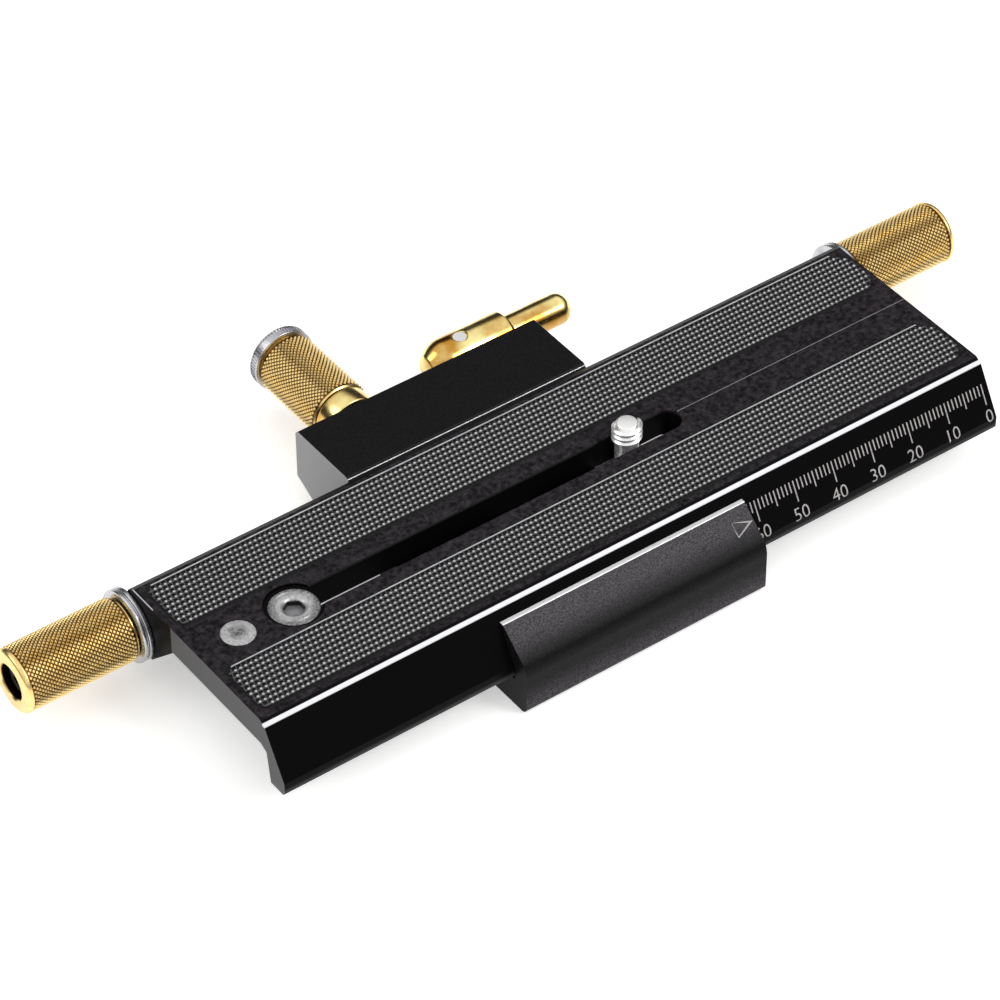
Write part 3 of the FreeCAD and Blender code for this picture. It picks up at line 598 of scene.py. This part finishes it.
plug_at, disc_at, ring_spacing = (-61.15, 0, 15.2), (-74.15, 0, 18.5), 0.9
plug_height, plug_radius, disc_height, disc_radius = 5.8, 5.3, 3.0, 3.65
socket_radius, socket_depth, socket_floor_z = 2.3, 5, 19.25
groove_floor = plug_height - 0.15
profile = [(0, 0), (0, plug_radius, 0.3), (plug_height, plug_radius, 0.4), (plug_height, 4.4)]
profile += [(groove_floor, 4.25), (groove_floor, 3.95), (plug_height, 3.8), (plug_height, 2.75, 0.15)]
profile += [(plug_height - 0.45, 2.2), (plug_height - 0.45, 0)]
plug = turned("slot_plug_screw_faced", profile, plug_at, (0, 0, 1), 64)
unselect()
bpy.ops.mesh.primitive_cylinder_add(
    vertices=6, radius=socket_radius * mm, depth=socket_depth * mm,
    location=(plug_at[0] * mm, 0, (socket_floor_z + socket_depth / 2) * mm),
)
carve(plug, bpy.context.object)
plug_steel = ringed_steel("lathe_faced_plug_steel", (plug_at[0], 0, plug_at[2] + plug_height), ring_spacing)
finish(plug, plug_steel, "rail", "slot_plug_screw")
profile = [(0, 0), (0, disc_radius, 0.2), (disc_height, disc_radius, 0.35), (disc_height, 0.75)]
profile += [(disc_height - 0.2, 0.5), (disc_height - 0.15, 0.0)]
disc = turned("locating_plug_faced", profile, disc_at, (0, 0, 1), 56)
disc_steel = ringed_steel("lathe_faced_disc_steel", (disc_at[0], 0, plate_top_z), ring_spacing)
finish(disc, disc_steel, "rail", "locating_plug")

# The screw bushes: turned steel sleeves in the rail's ends. Their wide rings stand outside
# as silver collars behind the drive knobs, each with a turned groove.
screw_axis_y, screw_axis_z = 23.052, 12
ring_radius, ring_width, groove_radius = 7.93, 2.15, 7.5
sleeve_length, sleeve_radius, sleeve_bore = 8, 4.08, 2.55
for node_name, face_x, out in (("left_screw_bush", left_face_x, -1), ("right_screw_bush", right_face_x, 1)):
    profile = [(-sleeve_length, sleeve_bore), (-sleeve_length, sleeve_radius), (0, sleeve_radius)]
    profile += [(0, ring_radius, 0.2), (0.95, ring_radius, 0.15), (1.05, groove_radius)]
    profile += [(1.35, groove_radius), (1.45, ring_radius, 0.15)]
    profile += [(ring_width, ring_radius, 0.3), (ring_width, sleeve_bore)]
    profile += [(-sleeve_length, sleeve_bore)]
    bush = turned(node_name + "_turned", profile, (face_x, screw_axis_y, screw_axis_z), (out, 0, 0), 72)
    finish(bush, turned_steel, "rail", node_name)

# The lead screw: a ground steel bar with a 1 mm thread rolled along its middle and a plain
# journal at each end. It shows through the window in the rail's rear flank.


def coil(piece, rise, turns, steps):
    """Winds a flat outline round Z into a closed coil that climbs by rise, in mm, at each turn."""
    wind = piece.modifiers.new("wind", "SCREW")
    wind.axis = "Z"
    wind.angle = math.tau
    wind.screw_offset = rise * mm
    wind.iterations = turns
    wind.steps = steps
    wind.render_steps = steps
    wind.use_merge_vertices = False
    bpy.ops.object.modifier_apply(modifier="wind")
    editing(piece)
    selected_by(piece, lambda middle, edge: len(edge.link_faces) < 2, "edges")
    bpy.ops.mesh.edge_face_add()
    bpy.ops.mesh.select_all(action="SELECT")
    bpy.ops.mesh.normals_make_consistent(inside=False)
    bpy.ops.object.mode_set(mode="OBJECT")


def thread(name, radius, root, pitch, start, turns, origin, axis, steps):
    """A vee thread: one tooth's outline wound round an axis through origin."""
    unselect()
    bpy.ops.mesh.primitive_circle_add(vertices=4, radius=mm)
    ridge = bpy.context.object
    ridge.name = name
    editing(ridge)
    shape = bmesh.from_edit_mesh(ridge.data)
    foot, half_foot, half_crest = root - 0.1, pitch * 0.42, pitch * 0.08
    corners = [(foot, -half_foot), (radius, -half_crest), (radius, half_crest), (foot, half_foot)]
    for vertex, corner in zip(list(shape.verts), corners):
        vertex.co = Vector((corner[0], 0, corner[1])) * mm
    bmesh.update_edit_mesh(ridge.data)
    bpy.ops.object.mode_set(mode="OBJECT")
    coil(ridge, pitch, turns, steps)
    ridge.rotation_euler = Vector((0, 0, 1)).rotation_difference(Vector(axis)).to_euler()
    ridge.location = (Vector(origin) + Vector(axis) * start) * mm
    settle(ridge)
    return ridge


journal_radius, bar_radius, thread_root, tapped_radius = 2.5, 3.0, 2.42, 1.52
journal_reach, tapped_from, bar_from = 21.65, 13.35, 8.3
left_end, right_end = left_face_x - journal_reach, right_face_x + journal_reach
left_bar, right_bar = left_face_x + bar_from, right_face_x - bar_from
left_tap, right_tap = left_face_x - tapped_from, right_face_x + tapped_from
left_thread, right_thread = -73.0, 83.0
profile = [(left_tap, 0), (left_tap, tapped_radius), (left_end, tapped_radius)]
profile += [(left_end, journal_radius, 0.3), (left_bar, journal_radius)]
profile += [(left_bar, bar_radius, 0.3), (left_thread, bar_radius)]
profile += [(left_thread, thread_root), (right_thread, thread_root), (right_thread, bar_radius)]
profile += [(right_bar, bar_radius, 0.3), (right_bar, journal_radius), (right_end, journal_radius, 0.3)]
profile += [(right_end, tapped_radius), (right_tap, tapped_radius), (right_tap, 0)]
screw_axis, screw_pitch, thread_turns = (0, screw_axis_y, screw_axis_z), 1.0, 156
screw = turned("lead_screw_threaded", profile, screw_axis, (1, 0, 0), 32)
settle(screw)
ridge = thread(
    "lead_screw_ridge", bar_radius, thread_root, screw_pitch, left_thread - 0.2, thread_turns,
    screw_axis, (1, 0, 0), 24,
)
finish(join([screw, ridge]), turned_steel, "lead_screw", "lead_screw")

# The drive knobs: brass bars turned, rolled with a fine diamond knurl and gilded by a clear
# lacquer. The outer end is left smooth and rounded, and a deep mouth takes the cap screw.


def even(start, end, radius, count):
    """Evenly spaced points along a barrel, from after start to end."""
    return [(start + (end - start) * step / count, radius) for step in range(1, count + 1)]


def knurl(piece, in_band, peak):
    """Turns the squares of a band into diamonds, each raised to a point of height peak."""
    editing(piece)
    selected_by(piece, lambda middle, face: in_band(middle))
    bpy.ops.mesh.poke()
    shape = bmesh.from_edit_mesh(piece.data)
    crossed = {face.index for face in shape.faces if face.select}
    old_edges = [
        edge for edge in shape.edges
        if all(face.index in crossed for face in edge.link_faces)
        and all(len(vertex.link_edges) > 4 for vertex in edge.verts)
    ]
    bpy.ops.mesh.select_all(action="DESELECT")
    for edge in old_edges:
        edge.select_set(True)
    bmesh.update_edit_mesh(piece.data)
    bpy.ops.mesh.dissolve_edges(use_verts=False)
    selected_by(piece, lambda middle, face: in_band(middle) and len(face.verts) == 4)
    bpy.ops.mesh.poke(offset=peak * mm)


knurl_root, knurl_height, mouth_radius = 6.6, 0.38, 3.8


# Brass with a gold lacquer: a bright warm yellow metal, with painted shade browning the
# knurl's valleys and darkening the bore.
def knurled_brass(name, axis, origin, band):
    """Lacquered brass with painted shade browning the knurl's valleys, within a band along the axis."""
    material, tree = blank_material(name)
    place = add(tree, "TexCoord", {}).outputs["Object"]
    centred = add(tree, "Mapping", {"Vector": place, "Location": [-c * mm for c in origin]})
    level = add(tree, "VectorMath", {0: centred.outputs[0], 1: axis}, operation="DOT_PRODUCT")
    spread = add(tree, "VectorMath", {0: centred.outputs[0]}, operation="LENGTH")
    square = add(tree, "Math", {0: spread.outputs["Value"], 1: spread.outputs["Value"]}, operation="MULTIPLY")
    ahead = add(tree, "Math", {0: level.outputs["Value"], 1: level.outputs["Value"]}, operation="MULTIPLY")
    square = add(tree, "Math", {0: square.outputs[0], 1: ahead.outputs[0]}, operation="SUBTRACT")
    radius = add(tree, "Math", {0: square.outputs[0]}, operation="SQRT")
    # Painted shade: the knurl's valleys, nearest the axis, are painted brown.
    depth = add(tree, "MapRange", {
        "Value": radius.outputs[0],
        "From Min": (knurl_root + 0.02) * mm, "From Max": (knurl_root + 0.17) * mm,
    })
    reach = add(tree, "Math", {0: level.outputs["Value"]}, operation="ABSOLUTE")
    plain = add(tree, "Math", {0: 1.0, 1: within(tree, reach.outputs[0], *band)}, operation="SUBTRACT")
    depth = add(tree, "Math", {0: depth.outputs[0], 1: plain.outputs[0]}, operation="MAXIMUM")
    cloud = add(tree, "TexNoise", {"Vector": place, "Scale": 500, "Detail": 3, "Roughness": 0.7})
    gold = add(tree, "Mix", {
        "Factor": cloud.outputs["Fac"], "A": tint("#eebd5c"), "B": tint("#fff0b8"),
    }, data_type="RGBA")
    skin = add(tree, "Mix", {
        "Factor": depth.outputs[0], "A": tint("#5e3d14"), "B": gold.outputs["Result"],
    }, data_type="RGBA")
    # Painted shade: the mouth's bore is painted dark brown.
    bore_shade = add(tree, "MapRange", {
        "Value": radius.outputs[0],
        "From Min": (mouth_radius + 0.3) * mm, "From Max": (mouth_radius + 0.05) * mm,
    })
    skin = add(tree, "Mix", {
        "Factor": bore_shade.outputs[0], "A": skin.outputs["Result"], "B": tint("#3a2509"),
    }, data_type="RGBA")
    shader = add(tree, "BsdfPrincipled", {
        "Base Color": skin.outputs["Result"], "Metallic": 1.0, "Roughness": 0.28,
    })
    add(tree, "OutputMaterial", {"Surface": shader.outputs[0]})
    return material


rail_middle_x = (left_face_x + right_face_x) / 2
half_rail = right_face_x - rail_middle_x
band_start, band_end = 3.0, 26.8
knob_from, knob_to, end_radius, journal_bore, mouth_floor = 2.45, 28.15, 6.98, 2.52, 23.65
drive_brass = knurled_brass(
    "knurled_lacquered_brass", (1, 0, 0), (rail_middle_x, screw_axis_y, screw_axis_z),
    (half_rail + band_start - 0.1, half_rail + band_end + 0.1),
)
for node_name, face_x, out in (("left_drive_knob", left_face_x, -1), ("right_drive_knob", right_face_x, 1)):
    profile = [(knob_from, journal_bore), (knob_from, 6.3), (knob_from + 0.3, knurl_root)]
    profile += [(band_start, knurl_root)] + even(band_start, band_end, knurl_root, 22)
    profile += [(band_end + 0.1, end_radius, 0.1), (knob_to, end_radius, 1.0), (knob_to, mouth_radius + 0.4)]
    profile += [(knob_to - 0.45, mouth_radius), (mouth_floor, mouth_radius), (mouth_floor, tapped_radius)]
    profile += [(journal_reach, tapped_radius), (journal_reach, journal_bore), (knob_from, journal_bore)]
    knob = turned(node_name + "_knurled", profile, (face_x, screw_axis_y, screw_axis_z), (out, 0, 0), 42)

    def on_barrel(middle):
        """True on the part of the barrel that is knurled."""
        from_axis = math.hypot(middle.y - screw_axis_y, middle.z - screw_axis_z)
        return band_start < (middle.x - face_x) * out < band_end and from_axis > knurl_root - 0.6

    knurl(knob, on_barrel, knurl_height)
    finish(knob, drive_brass, "lead_screw", node_name, 25)

# The knob screws: blackened steel cap screws with hex sockets, deep in the knobs' mouths.
# Oil black: a dark grey metal, a little uneven.
oiled_black, tree = blank_material("oil_blackened_steel")
place = add(tree, "TexCoord", {}).outputs["Object"]
cloud = add(tree, "TexNoise", {"Vector": place, "Scale": 700, "Detail": 3})
tone = add(tree, "Mix", {
    "Factor": cloud.outputs["Fac"], "A": tint("#1d1d20"), "B": tint("#3a3a3e"),
}, data_type="RGBA")
shader = add(tree, "BsdfPrincipled", {
    "Base Color": tone.outputs["Result"], "Metallic": 1.0, "Roughness": 0.38,
})
add(tree, "OutputMaterial", {"Surface": shader.outputs[0]})
paint("knob_screws", oiled_black)

# The camera screw: a nickel-plated steel screw held captive in the slot by its washer. Its
# 1/4 inch thread, 1.27 mm from turn to turn, stands out of the plate.
low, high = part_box("camera_screw")
low, high = low / mm, high / mm
stud_x = (low.x + high.x) / 2
head_radius, head_top = 6.0, low.z + 3.6
stud_radius, neck_radius, core, point_radius = 3.175, 2.5, 2.72, 2.1
neck_from, neck_to, thread_top, stud_pitch = head_top + 1.1, 21.6, 25.4, 1.27
profile = [(low.z, 0.0), (low.z, head_radius, 0.3), (head_top, head_radius, 0.3), (head_top, stud_radius)]
profile += [(neck_from, stud_radius), (neck_from, neck_radius), (neck_to, neck_radius), (neck_to, core)]
profile += [(thread_top, core), (high.z, point_radius, 0.2), (high.z, 0.0)]
stud = turned("camera_screw_threaded", profile, (stud_x, 0, 0), (0, 0, 1), 48)
settle(stud)
carve(stud, bar((stud_x - 7, -0.8, low.z - 1.8), (stud_x + 7, 0.8, low.z + 1.8)))
ridge = thread(
    "camera_screw_ridge", stud_radius, core, stud_pitch, neck_to + 0.15, 3, (stud_x, 0, 0), (0, 0, 1), 40,
)
# Bright nickel: a pale, slightly warm finish with soft handling marks.
nickel, tree = blank_material("bright_nickel_plate")
place = add(tree, "TexCoord", {}).outputs["Object"]
smudge = add(tree, "TexNoise", {"Vector": place, "Scale": 500, "Detail": 3})
wear_and_sheen = add(tree, "MapRange", {"Value": smudge.outputs["Fac"], "To Min": 0.2, "To Max": 0.36})
tone = add(tree, "Mix", {
    "Factor": smudge.outputs["Fac"], "A": tint("#f1f0ee"), "B": tint("#ffffff"),
}, data_type="RGBA")
shader = add(tree, "BsdfPrincipled", {
    "Base Color": tone.outputs["Result"], "Metallic": 0.75, "Roughness": wear_and_sheen.outputs[0],
})
add(tree, "OutputMaterial", {"Surface": shader.outputs[0]})
finish(join([stud, ridge]), nickel, "camera_screw", "camera_screw")
paint("camera_screw_washer", nickel)

# The release mechanism inside the rear block: a brass half nut, a steel rod with an eye, its
# guide bush and the return spring. Polished brass shows softer brown clouds where handled.
polished, tree = blank_material("polished_lacquered_brass")
place = add(tree, "TexCoord", {}).outputs["Object"]
cloud = add(tree, "TexNoise", {"Vector": place, "Scale": 110, "Detail": 4})
spots = add(tree, "MapRange", {"Value": cloud.outputs["Fac"], "From Min": 0.36, "From Max": 0.6})
tone = add(tree, "Mix", {
    "Factor": spots.outputs[0], "A": tint("#c68f38"), "B": tint("#ffeea4"),
}, data_type="RGBA")
wear_and_sheen = add(tree, "MapRange", {"Value": cloud.outputs["Fac"], "To Min": 0.14, "To Max": 0.26})
shader = add(tree, "BsdfPrincipled", {
    "Base Color": tone.outputs["Result"], "Metallic": 1.0, "Roughness": wear_and_sheen.outputs[0],
})
add(tree, "OutputMaterial", {"Surface": shader.outputs[0]})
for node_name in ("half_nut", "rod_guide_bush"):
    paint(node_name, polished)
paint("pull_rod", turned_steel)
paint("lever_pin", nickel)
# Spring wire: drawn steel, darker than the turned parts, with faint die lines.
wire, tree = blank_material("drawn_spring_steel")
place = add(tree, "TexCoord", {}).outputs["Object"]
cloud = add(tree, "TexNoise", {"Vector": place, "Scale": 1500, "Detail": 2})
tone = add(tree, "Mix", {
    "Factor": cloud.outputs["Fac"], "A": tint("#77777b"), "B": tint("#a9a9ae"),
}, data_type="RGBA")
shader = add(tree, "BsdfPrincipled", {
    "Base Color": tone.outputs["Result"], "Metallic": 1.0, "Roughness": 0.3,
})
add(tree, "OutputMaterial", {"Surface": shader.outputs[0]})

# The return spring has three open turns, built at rest.
low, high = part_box("release_spring")
low, high = low / mm, high / mm
wire_radius, spring_turns, squeeze = 0.4, 3, 1.6
unselect()
coil_radius = (high.x - low.x) / 2 - wire_radius
bpy.ops.mesh.primitive_circle_add(
    vertices=10, radius=wire_radius * mm, location=(coil_radius * mm, 0, 0), rotation=(math.pi / 2, 0, 0),
)
spring = bpy.context.object
spring.name = "release_spring_coiled"
settle(spring)
coil(spring, (high.y - low.y - 2 * wire_radius) / spring_turns, spring_turns, 40)
spring.rotation_euler = (-math.pi / 2, 0, 0)
spring.location = Vector(((low.x + high.x) / 2, low.y + wire_radius, (low.z + high.z) / 2)) * mm
finish(spring, wire, "carriage", "release_spring", 40)
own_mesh(spring)

# The release lever: turned from brass bar and polished, with a slot milled for the pull
# rod's eye and a countersunk hole for the upright pin.
pin = (15.15, 50.727, 12)
heel_x, heel_radius, barrel_from, barrel_to, barrel_radius = -8.6, 2.875, -5.5, 11.35, 5.175
handle_to, handle_radius = 27.9, 3.55
profile = [(heel_x, 0), (heel_x, heel_radius, 0.5), (barrel_from, barrel_radius, 1.8)]
profile += [(barrel_to, barrel_radius, 0.25), (barrel_to + 0.85, handle_radius, 0.4)]
profile += [(handle_to, handle_radius, 2.7), (handle_to, 0)]
lever = turned("release_lever_turned", profile, pin, (1, 0, 0), 72)
settle(lever)
eye_room, half_mortise = 2.65, 1.75
carve(lever, bar(
    (pin[0] - 4.75, pin[1] - 6.2, pin[2] - half_mortise),
    (pin[0] + eye_room, pin[1] + eye_room, pin[2] + half_mortise),
))
hole_radius, sink_radius = 1.55, 2.5
profile = [(-6, 0), (-6, sink_radius), (-4.6, hole_radius), (4.6, hole_radius), (6, sink_radius), (6, 0)]
drill = turned("pin_hole_drill", profile, pin, (0, 0, 1), 40)
settle(drill)
carve(lever, drill)
finish(lever, polished, "release_lever", "release_lever")

# The lock knob: the same knurled brass, closed by a serrated steel ring. A smooth brass
# collar seats it in the block, and its spindle presses a black steel shoe on the rail.
paint("lock_spindle", turned_steel)
paint("brake_shoe", oiled_black)
lock_face = (-15.5, 45.402, 12)
spigot_length, spigot_radius, collar_length, collar_radius, collar_bore = 6, 5.0, 4.8, 6.5, 3.05
profile = [(-spigot_length, collar_bore), (-spigot_length, spigot_radius), (0, spigot_radius)]
profile += [(0, collar_radius, 0.4), (collar_length, collar_radius, 0.5), (collar_length, collar_bore)]
profile += [(-spigot_length, collar_bore)]
collar = turned("lock_collar_turned", profile, lock_face, (0, 1, 0), 64)
finish(collar, polished, "carriage", "lock_collar")

band_start, band_end = 5.5, 24.7
knob_from, knob_to, spindle_bore, waist_radius = 5.1, 25.1, 3.02, 5.8
ring_from, ring_to, ring_outer = 25.6, 28.1, 7.25
lock_brass = knurled_brass(
    "knurled_lacquered_brass_lock", (0, 1, 0), lock_face, (band_start - 0.1, band_end + 0.2),
)
profile = [(knob_from, spindle_bore), (knob_from, 6.3), (knob_from + 0.3, knurl_root)]
profile += [(band_start, knurl_root)] + even(band_start, band_end, knurl_root, 18)
profile += [(knob_to - 0.25, knurl_root), (knob_to, 6.4), (knob_to, waist_radius)]
profile += [(ring_from, waist_radius), (ring_from, spindle_bore), (knob_from, spindle_bore)]
knob = turned("lock_knob_knurled", profile, lock_face, (0, 1, 0), 42)


def on_lock_barrel(middle):
    """True on the knurled part of the lock knob."""
    from_axis = math.hypot(middle.x - lock_face[0], middle.z - lock_face[2])
    return band_start < middle.y - lock_face[1] < band_end and from_axis > knurl_root - 0.6


knurl(knob, on_lock_barrel, knurl_height)
finish(knob, lock_brass, "lock_knob", "lock_knob", 25)

profile = [(ring_from, 0.0), (ring_from, ring_outer, 0.2), (ring_to, ring_outer, 0.3), (ring_to, 0.0)]
ring = turned("knob_end_ring_serrated", profile, lock_face, (0, 1, 0), 64)


def on_ring_side(middle, face):
    """True on the ring's outer side, between its rounded edges."""
    from_axis = math.hypot(middle.x - lock_face[0], middle.z - lock_face[2])
    return ring_from + 0.2 < middle.y - lock_face[1] < ring_to - 0.3 and from_axis > ring_outer - 0.35


selected_by(ring, on_ring_side)
bpy.ops.mesh.inset(thickness=0.1 * mm, use_individual=True)
bpy.ops.mesh.extrude_region_shrink_fatten(TRANSFORM_OT_shrink_fatten={"value": -0.25 * mm})
finish(ring, turned_steel, "lock_knob", "knob_end_ring", 25)

# The scale: a millimetre scale engraved into the front flank and filled with white paint,
# with a number every 10 mm that reads from the right end.
# Filling paint: dense matt white with a slightly uneven fill.
white_paint, tree = blank_material("white_engraving_paint")
place = add(tree, "TexCoord", {}).outputs["Object"]
cloud = add(tree, "TexNoise", {"Vector": place, "Scale": 1800, "Detail": 2})
tone = add(tree, "Mix", {
    "Factor": cloud.outputs["Fac"], "A": tint("#7c7979"), "B": tint("#cbc8c7"),
}, data_type="RGBA")
shader = add(tree, "BsdfPrincipled", {"Base Color": tone.outputs["Result"], "Roughness": 0.7})
add(tree, "OutputMaterial", {"Surface": shader.outputs[0]})

flank_lean = math.radians(30)
flank_top = Vector((0, -23.15, plate_top_z))
down_flank = Vector((0, -math.sin(flank_lean), -math.cos(flank_lean)))
out_of_flank = Vector((0, -math.cos(flank_lean), math.sin(flank_lean)))
lay_on_flank = Matrix((Vector((1, 0, 0)), -down_flank, out_of_flank)).transposed().to_4x4()
flank_foot_z = 10.1
zero_x = 92.65
tick_from, number_middle = 4.5 / math.cos(flank_lean), 10.75 / math.cos(flank_lean)
tick_width, paint_height, number_size = 0.28, 0.03, 4.1
marks = []
for spacing, start, end in ((1, 0, 2.3), (5, 2.25, 3.4), (10, 3.35, 4.6)):
    unselect()
    middle = flank_top + down_flank * (tick_from + (start + end) / 2) + Vector((zero_x, 0, 0))
    bpy.ops.mesh.primitive_cube_add(size=mm)
    tick = bpy.context.object
    tick_size = Matrix.Diagonal((tick_width, end - start, paint_height, 1))
    tick.matrix_world = Matrix.Translation(middle * mm) @ lay_on_flank @ tick_size
    settle(tick)
    repeat(tick, (-spacing, 0, 0), 120 // spacing + 1)
    marks.append(tick)
for number in range(0, 130, 10):
    unselect()
    bpy.ops.object.text_add()
    text = bpy.context.object
    text.data.body = str(number)
    text.data.size = number_size * mm
    text.data.align_x = "CENTER"
    text.data.align_y = "CENTER"
    text.data.extrude = paint_height / 2 * mm
    text.data.resolution_u = 3
    text.data.offset = -0.03 * mm
    text.select_set(True)
    bpy.ops.object.convert(target="MESH")
    text = bpy.context.object
    middle = flank_top + down_flank * number_middle + Vector((zero_x - number, 0, 0))
    text.matrix_world = Matrix.Translation(middle * mm) @ lay_on_flank
    settle(text)
    marks.append(text)
scale = join(marks)
editing(scale)
bpy.ops.mesh.select_all(action="SELECT")
bpy.ops.mesh.bisect(plane_co=(0, 0, flank_foot_z * mm), plane_no=(0, 0, 1))
shape = bmesh.from_edit_mesh(scale.data)
for vertex in shape.verts:
    below = flank_foot_z - vertex.co.z / mm
    if below > 0:
        vertex.co.y += below * math.tan(flank_lean) * mm
        vertex.co.z = (flank_foot_z - below / math.cos(flank_lean)) * mm
bmesh.update_edit_mesh(scale.data)
unselect()
scale.name = "engraved_scale"
scale.data.materials.clear()
scale.data.materials.append(white_paint)
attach(scale, "rail")

# The index: an outlined triangle engraved on the carriage's bevel, filled with the same
# white paint, that points at the scale.
corners = [Vector((25.15, -28.1, 16.7)), Vector((28.75, -29.2, 15.75)), Vector((25.25, -30.4, 14.7))]
bevel_out = Vector((0, -0.6527, 0.7576))
bevel_slope, groove_depth, outline_width = 5.6 / 6.5, 0.04, 0.3
unselect()
bpy.ops.mesh.primitive_circle_add(vertices=3, radius=mm, fill_type="NGON")
index = bpy.context.object
index.name = "index_triangle"
editing(index)
shape = bmesh.from_edit_mesh(index.data)
for vertex, corner in zip(list(shape.verts), corners):
    on_bevel = Vector((corner.x, corner.y, jaw_top_z + (corner.y - bevel_top_y) * bevel_slope))
    vertex.co = (on_bevel + bevel_out * groove_depth) * mm
bmesh.update_edit_mesh(index.data)
bpy.ops.mesh.select_all(action="SELECT")
bpy.ops.mesh.inset(thickness=outline_width * mm)
bpy.ops.mesh.delete(type="FACE")
bpy.ops.mesh.select_all(action="SELECT")
bpy.ops.mesh.extrude_region_move(TRANSFORM_OT_translate={"value": bevel_out * -groove_depth * mm})
bpy.ops.mesh.select_all(action="SELECT")
bpy.ops.mesh.normals_make_consistent(inside=False)
index.data.materials.append(white_paint)
settle(index)
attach(index, "carriage")

# A painted highlight: a fine pale strip laid along the plate's middle from the slot to the
# right end, standing in for the lit edge of a shallow groove.
line_from, line_to, line_y, line_width, line_height = 33.8, 94.1, 0.85, 0.16, 0.02
unselect()
bpy.ops.mesh.primitive_cube_add(
    size=mm, location=((line_from + line_to) / 2 * mm, line_y * mm, plate_top_z * mm),
    scale=(line_to - line_from, line_width, line_height),
)
highlight_strip = bpy.context.object
highlight_strip.name = "painted_highlight_line"
editing(highlight_strip)
bpy.ops.mesh.select_all(action="SELECT")
bpy.ops.mesh.bevel(offset=0.004 * mm, segments=1)
# Painted highlight: a thin, uneven grey line.
strip_highlight_paint, tree = blank_material("painted_highlight_grey")
place = add(tree, "TexCoord", {}).outputs["Object"]
cloud = add(tree, "TexNoise", {"Vector": place, "Scale": 700, "Detail": 2})
tone = add(tree, "Mix", {
    "Factor": cloud.outputs["Fac"], "A": tint("#6c6a6c"), "B": tint("#a9a7a9"),
}, data_type="RGBA")
shader = add(tree, "BsdfPrincipled", {
    "Base Color": tone.outputs["Result"], "Metallic": 0.5, "Roughness": 0.4,
})
add(tree, "OutputMaterial", {"Surface": shader.outputs[0]})
highlight_strip.data.materials.append(strip_highlight_paint)
settle(highlight_strip)
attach(highlight_strip, "rail")
